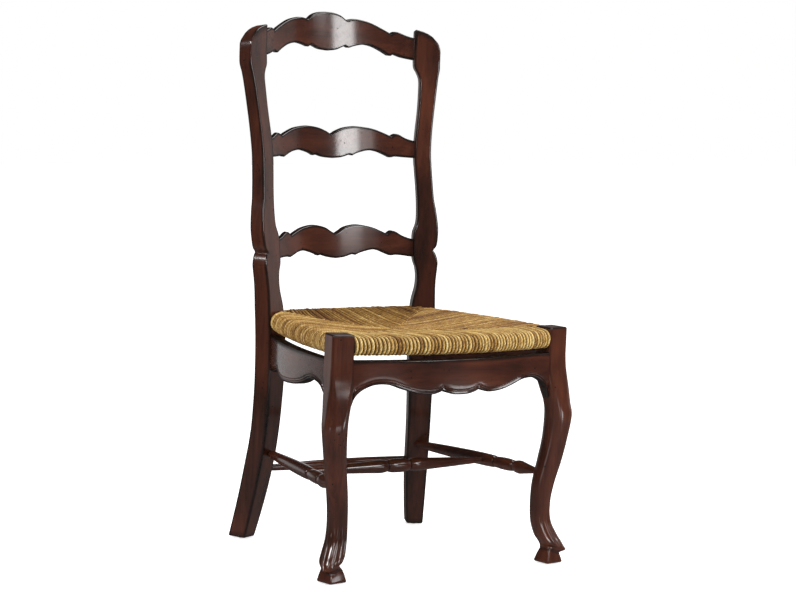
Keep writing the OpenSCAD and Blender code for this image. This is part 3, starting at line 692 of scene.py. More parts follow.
def legStations(s):
    # Rings from the floor up: height, reach to the toe, the heel and the sides, roundness, and how
    # far the ring is set aside
    a, k, b, ra = (s[key] for key in ("ankle", "knee", "blockLow", "ankleRadius"))
    toe, out, shift, sole = (s[key] for key in ("toe", "toeOut", "soleShift", "sole"))
    soleSet = s["aside"] + 2
    low = (s["foot"] + 4.4, shift + sole - 0.6, sole - shift - 0.8, sole - 0.6, 0.2, soleSet)
    high = (toe - 9, out - 12.7, 4.9, 20.9, 0.2, soleSet)
    foot = [
        (s["foot"], shift + sole - 2.2, sole - shift - 2.2, sole - 2.2, 0.2, soleSet),
        (s["foot"] + 1, shift + sole - 0.7, sole - shift - 0.7, sole - 0.7, 0.2, soleSet),
        (s["foot"] + 2.4, shift + sole - 0.1, sole - shift - 0.1, sole - 0.1, 0.2, soleSet),
        *[tuple(blend(p, q, t) for p, q in zip(low, high)) for t in (0.0, 0.08, 0.5, 0.92, 1.0)],
        (toe - 7.6, out - 12.9, 4.3, 20.3, 0.22, soleSet),
        (toe - 6, out - 11.5, 4, 20, 0.3, soleSet),
        (toe - 4, out - 7.5, 4, 19.2, 0.45, soleSet - 0.25),
        (toe - 2, out - 2.6, 4, 18.4, 0.58, soleSet - 0.5),
        (toe - 0.8, out - 0.8, 4.1, 18.2, 0.62, soleSet - 0.5),
        (toe, out - 0.1, 4.2, 18.3, 0.64, soleSet - 0.5),
    ]
    upper = spline([
        (toe + 1, out, 4.5, 19, 0.66, soleSet - 0.5),
        (toe + 7, out - 4, 6.5, 23, 0.72, soleSet - 1),
        (toe + 16, out - 9.5, 10.5, 25, 0.78, soleSet - 1.5),
        (0.47 * a, 31, 18, 24.8, 0.82, s["aside"]),
        (0.69 * a, 17, 26.5, ra + 1, 0.85, s["aside"]),
        (a, ra - 7.5, ra + 7.5, ra, 0.85, s["aside"]),
        (blend(a, k, 0.23), 20.7, 26.5, ra + 0.2, 0.9, s["aside"]),
        (blend(a, k, 0.478), 32.8, 18, ra + 1, 0.88, s["aside"]),
        (blend(a, k, 0.736), s["kneeOut"] - 7.3, 10, ra + 2.5, 0.85, s["aside"]),
        (k, s["kneeOut"], 7.3, ra + 5, 0.82, s["aside"]),
        (blend(k, b, 0.265), s["kneeOut"] - 4.5, 10, ra + 6.5, 0.74, s["aside"]),
        (blend(k, b, 0.52), 41.5, 19, ra + 8.5, 0.6, s["aside"] - 1),
        (blend(k, b, 0.784), 36.7, 28, ra + 9.5, 0.38, s["aside"] / 2),
        (b, blockReach + 1.7, blockReach - 0.6, blockReach + 0.1, 0.26, 0.4),
        (b + 24, blockReach, blockReach, blockReach, 0.2, 0),
    ], 6)
    block = [(z, blockReach) for z in (445, 458, 471, 484)]
    for t in (0.0, 0.3, 0.6, 0.8, 0.94, 1.0):
        inset = s["topRound"] * (1 - math.sqrt(1 - t * t))
        block.append((s["height"] - s["topRound"] * (1 - t), blockReach - inset * 1.4))
    block += [(s["height"], blockReach * share) for share in (0.8, 0.4)]
    return foot + upper + [(z, reach, reach, reach, 0.2, 0.0) for z, reach in block]


# Where a ring's points lie, in degrees from a corner
cornerSteps = (0, 1.5, 3, 4.7, 7, 10, 13.5, 17, 20.5, 24, 27.5, 31, 34.5, 38, 41.5)
ringTurns = []
for quarter in range(4):
    steps = [*cornerSteps, 45] + [90 - step for step in reversed(cornerSteps[1:])]
    ringTurns += [(90 * quarter + step, min(step, 90 - step)) for step in steps]


def unitRing(roundness):
    # A square with rounded corners, its points at the same angles on every ring: across, ahead, the
    # angle from the toe's corner, and the angle from the nearest corner
    flat = 1 - roundness
    points = []
    for turn, corner in ringTurns:
        x, y = math.cos(math.radians(turn - 45)), math.sin(math.radians(turn - 45))
        c, s = max(abs(x), abs(y)), min(abs(x), abs(y))
        far = 1 / c
        if s > flat * c:
            far = flat * (c + s) + math.sqrt(flat**2 * ((c + s) ** 2 - 2) + roundness**2)
        points.append((x * far, y * far, (turn + 180) % 360 - 180, corner))
    return points


def makeLeg(side, name, s):
    stations = legStations(s)
    verts, marks = [], []
    for z, out, back, wide, roundness, aside in stations:
        reach = math.sqrt(2) * (1 - roundness) + roundness
        half, shift = (out + back) / 2, (out - back) / 2
        fluted = smooth(*s["fluteRise"], z) * (1 - smooth(*s["fluteFall"], z))
        lifted = smooth(*s["heelRise"], z) * (1 - smooth(*s["heelFall"], z))
        waist = smooth(*s["waistRise"], z) * (1 - smooth(*s["waistFall"], z))
        twist = 0.0
        if side < 0:
            twist = math.radians(s["leftBaseTurn"]) * (1 - smooth(*s["baseTurnEnds"], z))
        for px, py, angle, corner in unitRing(roundness):
            a = (px - py) / math.sqrt(2) / reach * half
            b = (px + py) / math.sqrt(2) / reach * wide
            hollow = 0.0
            for middleAngle in s["fluteAngles"]:
                turn = min(1.0, abs(angle - middleAngle) / s["fluteWidth"])
                hollow = max(hollow, fluted * (0.5 + 0.5 * math.cos(math.pi * turn)))
            keep = 1 - hollow * s["fluteDepth"] / max(8.0, math.hypot(a, b))
            heel = smooth(0.9, 0.0, a / half) * lifted
            a, b = turned(a * keep, b * keep, twist)
            a, b = a + shift, b - aside
            lx, ly = turned((a + b) / math.sqrt(2), (b - a) / math.sqrt(2), math.radians(s["turn"]))
            x, y = s["x"] + lx, -s["y"] + ly
            verts.append((side * x, y, z + s["heelLift"] * heel))
            # Painted edge shade on the squarer corners
            edge = 0.35 * smooth(9, 0, corner) * smooth(0.62, 0.3, roundness)
            if z > s["height"] - 2.6 and out > blockReach * 0.9:  # the block's top edge, painted dark as shade
                edge = max(edge, 0.8)
            top = 0.75 if z > s["height"] - 0.4 else 0.0  # dark end grain
            # Painted shade: a little in the flutes, and in the waist
            marks.append((max(edge, 0.5 * waist), max(hollow * 0.15, top)))
    count = len(ringTurns)
    ends = [[sum(c) / count for c in zip(*ring)] for ring in (verts[:count], verts[-count:])]
    faces = tube(verts, count, ends)
    makeWood(name, (verts, faces, marks + [(0.0, 0.0)] * 2), uprightWood)


for side, name in ((-1, "front_leg_left"), (1, "front_leg_right")):
    makeLeg(side, name, leg)
print("legs made")


def legPlace(a, b):
    # Where a point of the right leg's own frame lies
    c, s = math.cos(math.radians(leg["turn"])), math.sin(math.radians(leg["turn"]))
    return leg["x"] + a * c - b * s, -leg["y"] + a * s + b * c


apron = dict(
    top=441.0,
    thick=20.0,
    bow=32.5,
    sideBow=13.0,
    round=2.6,
    # The carving's distance from the lower edge, and its depth
    bevel=[(2.6, 0.0), (5.9, 1.7), (6.7, 0.3), (7.6, 0.0), (8.0, 0.0)],
    groove=dict(at=9.3, half=1.4, deep=1.3),
    rows=(2.9, 3.5, 4.1, 4.7, 5.3, 5.9, 6.6, 7.3, 8.1, 8.7, 9.3, 9.9, 10.6, 12.0),
    frontEdge=joined(
        [(0, -71.5), (18, -70.5), (34, -66.5)],
        [(43, -62), (52, -66), (66, -69), (84, -68.5), (104, -65.5), (128, -58.5), (152, -50),
         (172, -47), (190, -48.5), (205, -54), (218, -62), (229, -75), (236, -96)],
    ),
    sideEdge=[(-40, -73)] + joined(
        [(2, -69), (16, -57), (36, -50.5), (58, -49.5), (80, -54.5), (104, -63), (140, -71),
         (180, -75.5), (222, -77.5), (250, -74.5), (268, -69)],
        [(278, -61.5), (286, -66), (312, -71.5), (340, -73.5), (390, -74)],
    ),
)
apronEnd = legPlace(-leg["blockWidth"] / 2, -leg["blockWidth"] / 2 + 1.5)
apron["radius"] = (apronEnd[0] ** 2 + apron["bow"] ** 2) / (2 * apron["bow"])
apron["frontY"] = apronEnd[1] - apron["bow"]
sideStart = Vector(legPlace(leg["blockWidth"] / 2 - 2, leg["blockWidth"] / 2))
sideEnd = Vector(postPlace(24, postFace(apron["top"])))
sideChord = (sideEnd - sideStart).length
sideAngle = math.atan2(sideStart.x - sideEnd.x, sideEnd.y - sideStart.y)
sideRadius = (sideChord**2 / 4 + apron["sideBow"] ** 2) / (2 * apron["sideBow"])
sideOut = Vector((math.cos(sideAngle), math.sin(sideAngle)))
sideCentre = (sideStart + sideEnd) / 2 - (sideRadius - apron["sideBow"]) * sideOut


def moulding(d):
    # How deep the carving is at a distance from an apron's lower edge: a bevel with a steep
    # shoulder, and a groove
    bevel, groove = apron["bevel"], apron["groove"]
    depth = along(bevel, min(max(d, bevel[0][0]), bevel[-1][0]))
    t = abs(d - groove["at"]) / groove["half"]
    return depth + (groove["deep"] * (1 - t * t) if t < 1 else 0.0)


def makeApron(name, xLines, lowerEdge, toWorld, material, s):
    # lowerEdge gives the height below the top; toWorld bends a point at x, depth and height
    r = s["round"]
    last = s["rows"][-1]
    up = [(0.0, t * r) for t in roundSteps] + [(0.0, row) for row in s["rows"]]
    up += [(t, (1 - t) * (last + 1.5) - t * r) for t in (0.12, 0.35, 0.6, 0.85)]
    up += [(1.0, -t * r) for t in reversed(roundSteps)]
    through = edgeLines(r, (0.5,))
    slopes = {}
    for x in xLines:
        rise = (along(lowerEdge, x + 1.5) - along(lowerEdge, x - 1.5)) / 3
        slopes[x] = min(1.8, math.sqrt(1 + rise * rise))

    def place(x, upLine, throughLine):
        low, high = s["top"] + along(lowerEdge, x), s["top"]
        share, offset = upLine
        stretch = blend(slopes[x], 1.0, share)  # keeps the carving's width where the edge slopes
        z = low + share * (high - low) + offset * stretch
        raw = [z, lineValue(0, s["thick"], throughLine), 0.0]
        (z, d, _), edge = rounded(raw, (low, 0, -99), (high, s["thick"], 99), r, True)
        cut = 0.0
        if throughLine[0] < 0.1 and throughLine[1] < 0.01 and share < 0.1 and offset > r:
            cut = moulding(offset)
            d += cut
        # The carving's cut is darkened with painted shade
        return toWorld(x, d, z), edge, max(0.0, min(0.7, (cut - 0.8) / 1.2))

    makeWood(name, lattice(xLines, up, through, place), material)


def frontApronPlace(x, d, z):
    radius = apron["radius"]
    return x, apron["frontY"] + radius - math.sqrt((radius - d) ** 2 - x * x), z


frontHalf = thinned([x for x, _ in apron["frontEdge"]] + [6, 12, 26], 1.0)
frontHalf = [x for x in frontHalf if 0 < x < apron["frontEdge"][-1][0]]
mirroredEdge = [(-x, z) for x, z in reversed(apron["frontEdge"])] + apron["frontEdge"][1:]
frontLines = [-x for x in reversed(frontHalf)] + [0.0] + frontHalf
makeApron("front_apron", frontLines, mirroredEdge, frontApronPlace, crossWood, apron)


def sideApronPlace(side):
    def toWorld(x, d, z):
        angle = sideAngle + math.asin((x - sideChord / 2) / sideRadius)
        spot = sideCentre + (sideRadius - d) * Vector((math.cos(angle), math.sin(angle)))
        return side * spot.x, spot.y, z

    return toWorld


sideLines = thinned([x for x, _ in apron["sideEdge"]] + list(range(-6, 356, 9)), 1.2)
sideLines = [x for x in sideLines if -8 < x < sideChord + 6]
for side, name in ((-1, "side_apron_left"), (1, "side_apron_right")):
    makeApron(name, sideLines, apron["sideEdge"], sideApronPlace(side), deepWood, apron)
print("aprons made")


stretcher = dict(
    z=188.0,
    rearZ=150.0,
    radius=13.5,
    end=6.5,
    rearEnd=6.5,
    crossEnd=6,
    steps=56,
    crossY=74.0,
    grooves=(0.68, 0.832),  # shares of a side stretcher, from the back
    socket=(-12, 14),  # how far a side stretcher reaches into the post and the leg
)


def lathe(name, profile, origin, axis, material):
    # profile: radius and distance along the axis
    steps = stretcher["steps"]
    origin, axis = Vector(origin), Vector(axis).normalized()
    across = axis.cross(Vector((0, 0, 1))).normalized()
    up = across.cross(axis)
    verts, marks = [], []
    for i, (radius, distance) in enumerate(profile):
        near = [profile[max(i - 1, 0)][0], profile[min(i + 1, len(profile) - 1)][0]]
        # The turned grooves are darkened with painted shade
        hollow = min(1.0, max(0.0, (min(near) - radius) / 0.9))
        for k in range(steps):
            turn = 2 * math.pi * k / steps
            way = across * math.cos(turn) + up * math.sin(turn)
            verts.append(tuple(origin + axis * distance + way * radius))
            marks.append((0.0, hollow))
    faces = tube(verts, steps, [origin + axis * profile[i][1] for i in (0, -1)])
    makeWood(name, (verts, faces, marks + [(0.0, 0.0)] * 2), material, 50)


def bothWays(half):
    return [(r, -d) for r, d in reversed(half)] + half[1:]


def sideStretcherProfile(inner, s):
    big, end = s["radius"], s["end"]
    grooveA, grooveB = (share * inner for share in s["grooves"])
    profile = [(end, s["socket"][0])]
    profile += spline([
        (end, 5), (8.6, 24), (11.8, 0.287 * inner), (big, 0.509 * inner),
        (big - 0.4, grooveA - 12), (big - 1.6, grooveA - 3.2),
    ], 6)
    profile += [(big - 2.6, grooveA - 1.6), (big - 4, grooveA), (big - 2.8, grooveA + 1.6)]
    profile += spline([
        (big - 1.8, grooveA + 3.2), (big - 0.6, grooveA + 20), (big - 0.6, grooveB - 16),
        (big - 1.8, grooveB - 3.2),
    ], 6)
    profile += [(big - 2.8, grooveB - 1.6), (big - 4, grooveB), (big - 2.6, grooveB + 1.6)]
    profile += spline([
        (big - 1.6, grooveB + 3.4), (big + 0.6, grooveB + 17), (big - 2.5, grooveB + 36),
        (end, inner),
    ], 6)
    return profile + [(end, inner + s["socket"][1])]


def crossStretcherHalf(length, s):
    big, end = s["radius"], s["crossEnd"]
    profile = spline([(big + 1, 0), (big + 0.6, 14), (big - 1.3, 24)], 6)
    profile += [(big - 2.6, 25.6), (big - 4, 27), (big - 2.4, 28.6)]
    profile += spline([
        (big - 1.4, 30.2), (big + 0.4, 45), (big - 1.5, 0.375 * length), (9.5, 0.626 * length),
        (end, length - big - 4),
    ], 6)
    return profile + [(end, length - 5)]


def rearStretcherHalf(length, s):
    end = s["rearEnd"]
    profile = spline([(10, 0), (9.6, 0.35 * length), (8.2, 0.69 * length), (end, length - 1)], 6)
    return profile + [(end, length + 12)]


sideFrom = Vector(postPlace(0, postFace(stretcher["z"])))
sideTo = Vector(legPlace(-5, 2))
sideInner = (sideFrom - sideTo).length - leg["ankleRadius"] - 1
sideWay = (sideTo - sideFrom).normalized()
sideProfile = sideStretcherProfile(sideInner, stretcher)
for side, name in ((-1, "side_stretcher_left"), (1, "side_stretcher_right")):
    start = (side * sideFrom.x, sideFrom.y, stretcher["z"])
    lathe(name, sideProfile, start, (side * sideWay.x, sideWay.y, 0), deepWood)

crossAt = (sideFrom.y + stretcher["crossY"]) / -sideWay.y
crossProfile = bothWays(crossStretcherHalf(sideFrom.x + sideWay.x * crossAt, stretcher))
crossFrom = (0, -stretcher["crossY"], stretcher["z"])
lathe("cross_stretcher", crossProfile, crossFrom, (1, 0, 0), crossWood)

rearX, rearY = postPlace(-24, postFace(stretcher["rearZ"]) + post["legDepth"] / 2)
rearProfile = bothWays(rearStretcherHalf(rearX, stretcher))
lathe("rear_stretcher", rearProfile, (0, rearY, stretcher["rearZ"]), (1, 0, 0), crossWood)
print("stretchers made")


rush = dict(
    seat=487.0,
    rise=3.0,
    thick=38.0,
    dish=17.0,
    roll=20.0,
    over=3.0,
    pitch=7.6,
    cord=3.75,
    middleY=-38.0,
    frontCorner=(226.0, -221.0),
    rearCorner=(178.0, 133.0),
    fanFront=1.022,
    fanRear=0.85,
    behindRail=21,
    # Painted light and shade by field: the front lighter, the rear and the right side darker
    frontPaintedLight=0.06,
    rearPaintedShade=-0.2,
    sidePaintedShade=-0.05,
    postEdge=-4.5,  # where the rim meets a post, from the post's middle line
    sag=4.5,  # of the underside behind the front rail
    sides=8,
    tones=((0.14, 0.045, 0.006), (0.47, 0.252, 0.052), (0.98, 0.715, 0.275)),
    # gap is the near-black brown of the painted shade between and under the cords
    gap=(0.035, 0.015, 0.006),
    # the stuffing's near-black tones are painted shade where it shows between the cords
    coreShadeTones=((0.020, 0.010, 0.005), (0.07, 0.036, 0.014)),
    twists=0.62,  # of a cord in 10 mm
)
rush["railZ"] = rush["seat"] - rush["thick"] / 2
rearRailY = postPlace(-26, postFace(rush["railZ"]) + post["legDepth"] / 2)[1]
rush["rearY"] = rearRailY + rush["behindRail"]
rushRadius = apron["radius"] + rush["over"]
rushFrontY = apron["frontY"] - rush["over"]


def rimFront(x):
    return rushFrontY + rushRadius - math.sqrt(rushRadius**2 - x * x)


def rimSide(y):
    radius = sideRadius + rush["over"]
    x = sideCentre.x + math.sqrt(radius**2 - (y - sideCentre.y) ** 2)
    turn = math.radians(post["turn"])
    edge = rush["postEdge"]
    u = (post["y"] + edge * math.cos(turn) - y) / math.sin(turn)
    stop = post["x"] + u * math.cos(turn) + edge * math.sin(turn)
    return min(x, stop)


def rimRear(x):
    return rush["rearY"] - 4 * smooth(118, 150, abs(x)) - 5 * smooth(145, 170, abs(x))


dishCurve = spline([(0, 1), (0.3, 0.8), (0.6, 0.4), (0.82, 0.035), (0.9, 0), (1.2, 0)], 4)


def rushReach(x, y):
    # 0 at the seat's middle and 1 at its rim
    middleY = rush["middleY"]
    rim = rimFront(x) if y < middleY else rimRear(x)
    ahead = (y - middleY) / (rim - middleY)
    beside = abs(x) / rimSide(y)
    return (max(ahead, 0) ** 7 + max(beside, 0) ** 7) ** (1 / 7)


def rushRise(y):
    return rush["rise"] * smooth(0, 1, (y - apronEnd[1]) / 60)


def rushTop(x, y):
    reach = min(1.15, rushReach(x, y))
    dished = rush["seat"] - rush["dish"] * along(dishCurve, reach)
    return dished + rushRise(y) * smooth(0.2, 0.9, reach)


def rushUnder(x, y):
    sag = rush["sag"] * math.exp(-(((x - 12) / 58) ** 2)) * math.exp(-(((y + 222) / 34) ** 2))
    return rush["seat"] - rush["thick"] + 4 * (1 - min(1.0, rushReach(x, y))) - sag


def seamAt(x, corner):
    # Where the front or rear field ends, at a distance from the middle plane
    cx, cy = rush[corner]
    return blend(rush["middleY"], cy, min(1.0, abs(x) / cx))


def seamSide(y):
    cx, cy = rush["frontCorner"] if y < rush["middleY"] else rush["rearCorner"]
    return blend(0, cx, min(1.0, (y - rush["middleY"]) / (cy - rush["middleY"])))


def cordPath(seam, rim, height, under, lift):
    # A cord's way in its own upright plane, as distance and height: from the seam out over the rail
    # and back below
    roll, r = rush["roll"], rush["cord"]
    way = 1 if rim > seam else -1
    inner = rim - way * roll
    points = []
    run = abs(inner - seam)
    steps = max(2, int(run / 9))
    if run > 2:
        points.append((seam + way * 0.6, height(seam) - r - 6.5 + lift))
        points.append((seam + way * 1.6, height(seam) - r - 2.4 + lift))
        for i in range(1, steps + 1):
            at = blend(seam + way * 4.2, inner, i / steps) if i > 1 else seam + way * 4.2
            points.append((at, height(at) - r + lift))
    topZ, lowZ = height(inner) - r + lift, under(inner) + r
    middleZ, halfZ = (topZ + lowZ) / 2, (topZ - lowZ) / 2
    for k in range(1, 12):
        turn = math.pi / 2 - math.pi * k / 12
        out = (roll - r + lift) * math.cos(turn)
        points.append((inner + way * out, middleZ + halfZ * math.sin(turn)))
    steps = max(2, int(run / 26))
    for i in range(steps + 1):
        at = blend(inner, seam + way * 3, i / steps)
        points.append((at, under(at) + r))
    if run > 2:
        points.append((seam + way * 0.5, under(seam) + r + 6))
    return points


def addCord(store, path, place, tone, seed):
    # A tube along the path. Each point's marks are the cord's tone and its painted shade,
    # full on its inner side and growing on the sides that face its neighbours.
    verts, faces, marks, reaches = store
    sides, radius = rush["sides"], rush["cord"]
    start = len(verts)
    reach = 0.0
    fat = 1 + 0.09 * math.sin(seed * 2.3)
    outward = 1 if path[1][0] > path[0][0] else -1
    for i, (a, z) in enumerate(path):
        before, after = path[max(i - 1, 0)], path[min(i + 1, len(path) - 1)]
        way = Vector((after[0] - before[0], after[1] - before[1])).normalized()
        normal = Vector((-way.y, way.x)) * outward
        if i:
            reach += math.dist(path[i - 1], path[i])
        swing = 0.35 * noise.noise((seed * 3.1, reach * 0.02, 0.5))
        swell = fat * (1 + 0.06 * noise.noise((seed * 1.7, reach * 0.06, 4.5)))
        for k in range(sides):
            turn = 2 * math.pi * k / sides
            n, b = radius * swell * math.cos(turn), radius * swell * math.sin(turn)
            verts.append(place(a + normal.x * n, z + normal.y * n, b + swing))
            # Painted shade: growing toward the neighbours, full on the inner side
            deep = smooth(0.35, 0.92, abs(math.sin(turn))) if math.cos(turn) > -0.1 else 1.0
            marks.append((tone, deep))
        reaches.append(reach)
    rings = len(path)
    last = start + (rings - 1) * sides
    faces += ringFaces(start, last, sides)
    faces.append([start + k for k in range(sides)])
    faces.append([last + k for k in reversed(range(sides))])
    return rings


def rushMaterial(s):
    k = newShader("rushCord")
    tone = k.attribute("tone")
    gap = k.attribute("gap")
    straw = k.noise(90.0, 4.0, 0.65)
    blotch = k.noise(16.0, 2.0, 0.5)
    flake = k.noise(330.0, 2.0, 0.6)
    cordMap = k.node("ShaderNodeUVMap", {"uv_map": "cordMap"})
    lengthwise, around = k.split(cordMap, 0), k.split(cordMap, 1)
    strand = {0: lengthwise * 1.1, 1: around * 5.0, 2: tone * 60.0}
    streak = k.noise(k.node("ShaderNodeCombineXYZ", None, strand), 4.0, 0.7)
    twist = ((lengthwise * s["twists"] + around) * 2 * math.pi * 3).sine()
    value = tone * 0.75 + straw * 0.3 + streak * 0.75 + flake * 0.45 + blotch * 0.24
    colour = k.ramp(value - 0.75 + twist * 0.05, list(zip((0.22, 0.5, 0.8), s["tones"])))
    # Painted shade: the gap mark darkens the cords toward the gap colour
    return k.surface(
        {"IOR": 1.45, "Specular IOR Level": 0.35},
        Base_Color=k.mix(gap * 0.9, colour, (*s["gap"], 1)),
        Roughness=straw.between(0.3, 0.7, 0.36, 0.56) + gap * 0.3,
        Normal=k.bump(twist * 0.5 + straw * 0.6 + streak * 0.5, 0.5, 0.0009),
    )


def coreMaterial(s):
    k = newShader("rushCore")
    fibre = k.noise(120.0, 3.0, 0.6)
    # Near-black tones: painted shade where the stuffing shows between the cords
    colour = k.ramp(fibre, list(zip((0.3, 0.7), s["coreShadeTones"])))
    rough = fibre.between(0.3, 0.7, 0.7, 0.95)
    return k.surface(Base_Color=colour, Roughness=rough, Normal=k.bump(fibre, 0.5, 0.001))


rushCord = rushMaterial(rush)
rushCore = coreMaterial(rush)


def toneOf(seed, share):
    # How light a cord is, changing slowly from one to the next
    wander = 0.2 * noise.noise((seed * 0.61, 7.7, share)) + 0.07 * math.sin(seed * 2.1)
    return min(1.0, max(0.0, 0.52 + wander + random.uniform(-0.14, 0.14)))


def makeField(name, cords):
    verts, faces, marks = [], [], []
    sides = rush["sides"]
    ringCounts = []
    for seed, (path, place, tone) in enumerate(cords):
        reaches = []
        rings = addCord((verts, faces, marks, reaches), path, place, tone, seed)
        ringCounts.append((rings, reaches))
    piece = makePiece(name, (verts, faces, marks), rushCord, [], 70, ("tone", "gap"))
    mesh = piece.data
    where = []
    for rings, reaches in ringCounts:
        for i in range(rings):
            for k in range(sides):
                where.append((reaches[i] / 10, k / sides))
    cordMap = mesh.uv_layers.new(name="cordMap")
    for face in mesh.polygons:
        spots = [where[mesh.loops[i].vertex_index] for i in face.loop_indices]
        wrap = max(s[1] for s in spots) - min(s[1] for s in spots) > 0.5
        for loop, spot in zip(face.loop_indices, spots):
            cordMap.data[loop].uv = (spot[0], spot[1] + 1 if wrap and spot[1] < 0.5 else spot[1])


def span(low, high, pitch):
    # Where the cords between two ends lie
    count = max(1, round((high - low) / pitch))
    step = (high - low) / count
    return [low + step * (i + 0.5) for i in range(count)]


def endCord(x, corner, rimAt, fan, lift):
    seam = seamAt(x, corner)

    def fanned(y):
        return x * blend(1.0, fan, smooth(0, 1, (y - seam) / (rimAt(x) - seam + 1e-6)))

    def over(y):
        return rushTop(fanned(y), y)

    def under(y):
        return rushUnder(fanned(y), y)

    def place(a, z, b):
        return fanned(a) + b, a, z

    return cordPath(seam, rimAt(x * fan), over, under, lift), place


def endCords(corner, rimAt, fan, paintedLightShade, firstSeed, share):
    # The front or rear field: cords over its rail, the rear ones fanned in between the posts
    made = []
    for seed, x in enumerate(span(-rush[corner][0], rush[corner][0], rush["pitch"])):
        path, place = endCord(x, corner, rimAt, fan, random.uniform(-0.8, 0.5))
        # The field's painted light (front) and shade (rear) is added to each cord's tone
        made.append((path, place, toneOf(seed + firstSeed, share) + paintedLightShade))
    return made


def sideCord(y, side, lift):
    def over(x):
        return rushTop(x, y)

    def under(x):
        return rushUnder(x, y)

    def place(a, z, b):
        return side * a, y + b, z

    return cordPath(seamSide(y), rimSide(y), over, under, lift), place


def sideCords(side):
    made = []
    paintedLightShade = rush["sidePaintedShade"]
    front, rear = rush["frontCorner"][1] + 0.5, rush["rearCorner"][1] + 1
    for seed, y in enumerate(span(front, rear, rush["pitch"])):
        path, place = sideCord(y, side, random.uniform(-0.8, 0.5))
        # Painted shade: none on the left field, twice the setting on the right
        tone = toneOf(seed + 200 * (2 + side), 0.3 * side) + paintedLightShade + paintedLightShade * side
        made.append((path, place, tone))
    return made


frontCords = endCords("frontCorner", rimFront, rush["fanFront"], rush["frontPaintedLight"], 0, 0.0)
makeField("rushFront", frontCords)
rearCords = endCords("rearCorner", rimRear, rush["fanRear"], rush["rearPaintedShade"], 90, 1.0)
makeField("rushRear", rearCords)
makeField("rushLeft", sideCords(-1))
makeField("rushRight", sideCords(1))


def makeCore(s):
    # The stuffing under the cords: the seat's form, drawn in by most of a cord
    inset = s["cord"] + 1.2
    rim = [(x, rimFront(x)) for x in (0, 50, 100, 150, 190, 222)]
    rim += [(rimSide(y), y) for y in (-214, -170, -120, -70, -20, 30, 80, 118, 134)]
    rim += [(x, rimRear(x)) for x in (158, 130, 90, 45, 0)]
    rim += [(-x, y) for x, y in reversed(rim[1:-1])]
    middle = Vector((0, s["middleY"]))
    # How far out each ring of points lies, and how high between the underside and the top
    levels = [(0.25, 1), (0.5, 1), (0.7, 1), (0.85, 1), (0.93, 1), (0.97, 0.75), (0.985, 0.5),
              (0.97, 0.25), (0.93, 0), (0.7, 0), (0.4, 0)]
    verts = []
    for reach, level in levels:
        for x, y in rim:
            way = Vector((x, y)) - middle
            spot = middle + way * (reach - inset / way.length)
            low, high = rushUnder(spot.x, spot.y) + inset, rushTop(spot.x, spot.y) - inset
            verts.append((spot.x, spot.y, blend(low, high, level)))
    heights = (rushTop(0, middle.y) - inset, rushUnder(0, middle.y) + inset)
    faces = tube(verts, len(rim), [(0, middle.y, z) for z in heights])
    makePiece("rushStuffing", (verts, faces, None), rushCore, ["rush_seat"])


makeCore(rush)
print("rush made")


def dress(name, material):
    # A CAD piece keeps its shape and gets its finish
    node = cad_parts[name]
    node.data.materials.clear()
    node.data.materials.append(material)


for name in ("front_seat_rail", "rear_seat_rail", "side_seat_rail_left", "side_seat_rail_right"):
    dress(name, railWood)
for name in ("glide_front_left", "glide_front_right", "glide_rear_left", "glide_rear_right"):
    dress(name, glideSteel)
print("carried pieces dressed")


# Each lamp: name, place, target, size and power, all in metres and watts
stageSettings = dict(
    size=24.0,
    floorColour=(0.86, 0.86, 0.86, 1),
    floorRoughness=0.9,
    floorGlow=0.74,  # of white, near the chair
    glowEnds=(1.5, 4.0),
    dim=0.05,
    dimEnds=(0.7, 2.2),
    nearGloss=0.22,
    nearEnds=(2.7, 1.3),
    worldLevel=0.28,
    backdropWay=(0.5246, 0.8444, 0),
    backdropEnds=(0.15, 0.85),
    backdropTop=(0.26, 0.12),
    lights=(
        ("windowSoft", (1.12, -2.75, 1.66), (1.12, 0.0, 1.66), (0.82, 0.86), 37),
        ("fadeSoft", (0.44, -2.75, 1.46), (0.44, 0.0, 1.46), (0.54, 0.46), 2.8),
        ("shinSoft", (0.0, -1.45, 0.11), (-0.27, -0.27, 0.2), (0.28, 0.2), 0.4),
        ("shinSideSoft", (-1.31, -0.85, 0.11), (-0.27, -0.27, 0.2), (0.24, 0.2), 0.4),
        ("keySoft", (-2.1, -2.2, 2.3), (0, 0, 0.55), (0.5, 1.1), 37),
        ("leftSoft", (-2.9, 0.72, 2.25), (-0.2, 0.15, 0.9), (0.6, 0.6), 36),
        ("kickSoft", (0.368, -0.821, 0.207), (-0.25, -0.27, 0.02), (0.2, 0.13), 0.55),
        ("glintSoft", (1.6, -1.9, 2.0), (0, -0.1, 0.2), (0.4, 0.4), 7),
        ("topSoft", (0.8, 0.1, 2.9), (0.1, 0, 0.5), (1.7, 1.3), 48),
        ("rightSoft", (3.0, -0.6, 1.35), (0, 0, 0.8), (2.0, 1.8), 6.5),
    ),
)


def backdropShare(k, spot, s):
    # How much of the white backdrop lies in a direction from the chair
    unit = k.vector("NORMALIZE", {0: spot}, 0)
    facing = k.vector("DOT_PRODUCT", {0: unit, 1: s["backdropWay"]}, 1)
    return facing.between(*s["backdropEnds"], s["dim"], 1.0)


def viewRays(k):
    # Whether a ray comes from the camera, and whether from gloss or glass
    kinds = ("Is Camera Ray", "Is Glossy Ray", "Is Transmission Ray")
    seen, gloss, clear = (k.node("ShaderNodeLightPath", output=kind) for kind in kinds)
    return seen, gloss.larger(clear)


def white(k, strength):
    return k.node("ShaderNodeEmission", None, {"Color": (1, 1, 1, 1), "Strength": strength})


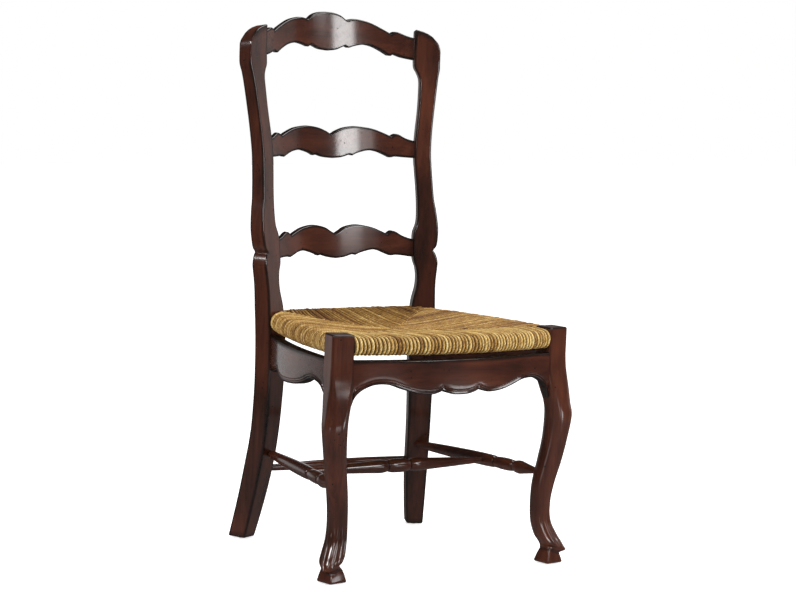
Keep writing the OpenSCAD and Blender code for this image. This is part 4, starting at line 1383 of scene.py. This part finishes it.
def makeFloor(s):
    # Far out the floor is white to the camera. In the chair's gloss it is white behind the chair,
    # faint around the feet and dim elsewhere.
    bpy.ops.mesh.primitive_plane_add(size=s["size"], location=(0, 0, 0))
    floor = bpy.context.object
    floor.name = "studioFloor"
    k = newShader("paleFloor")
    k.surface({"Base Color": s["floorColour"], "Roughness": s["floorRoughness"]})
    seen, gloss = viewRays(k)
    spot = k.coords((1.0, 1.0, 0.0))
    away = k.vector("LENGTH", {0: spot}, 1)
    glow = white(k, seen * away.between(*s["glowEnds"], s["floorGlow"], 1.0))
    pale = Wave(k, k.tree.nodes["Principled BSDF"].outputs[0])
    lit = k.node("ShaderNodeAddShader", None, {0: pale, 1: glow})
    spread = s["dim"] + (backdropShare(k, spot, s) - s["dim"]) * away.between(*s["dimEnds"])
    mirrored = white(k, spread.larger(away.between(*s["nearEnds"]) * s["nearGloss"]))
    mixed = k.node("ShaderNodeMixShader", None, {0: gloss, 1: lit, 2: mirrored})
    k.feed(k.tree.nodes["Material Output"].inputs["Surface"], mixed)
    floor.data.materials.append(k.owner)


def makeWorld(s):
    # White to the camera. In the chair's gloss only the low backdrop behind it is white.
    k = Shader(bpy.data.worlds.new("studioWorld"))
    bpy.context.scene.world = k.owner
    seen, gloss = viewRays(k)
    way = k.node("ShaderNodeTexCoord")
    low = k.split(way, 2).between(*s["backdropTop"])
    mirrored = s["dim"] + (backdropShare(k, way, s) - s["dim"]) * low
    unseen = gloss * mirrored + (1 - gloss) * s["worldLevel"]
    ground = k.tree.nodes["Background"]
    k.feed(ground.inputs["Color"], (1, 1, 1, 1))
    k.feed(ground.inputs["Strength"], seen + (1 - seen) * unseen)


def makeLamps(s):
    for name, place, target, size, power in s["lights"]:
        bpy.ops.object.light_add(type="AREA", location=place)
        lamp = bpy.context.object
        lamp.name = name
        lamp.data.shape = "RECTANGLE"
        lamp.data.size, lamp.data.size_y = size
        lamp.data.energy = power
        lamp.rotation_euler = (Vector(target) - Vector(place)).to_track_quat("-Z", "Y").to_euler()
        lamp.visible_camera = False


makeFloor(stageSettings)
makeWorld(stageSettings)
makeLamps(stageSettings)
bpy.context.scene.view_settings.view_transform = "Standard"
print("stage made")
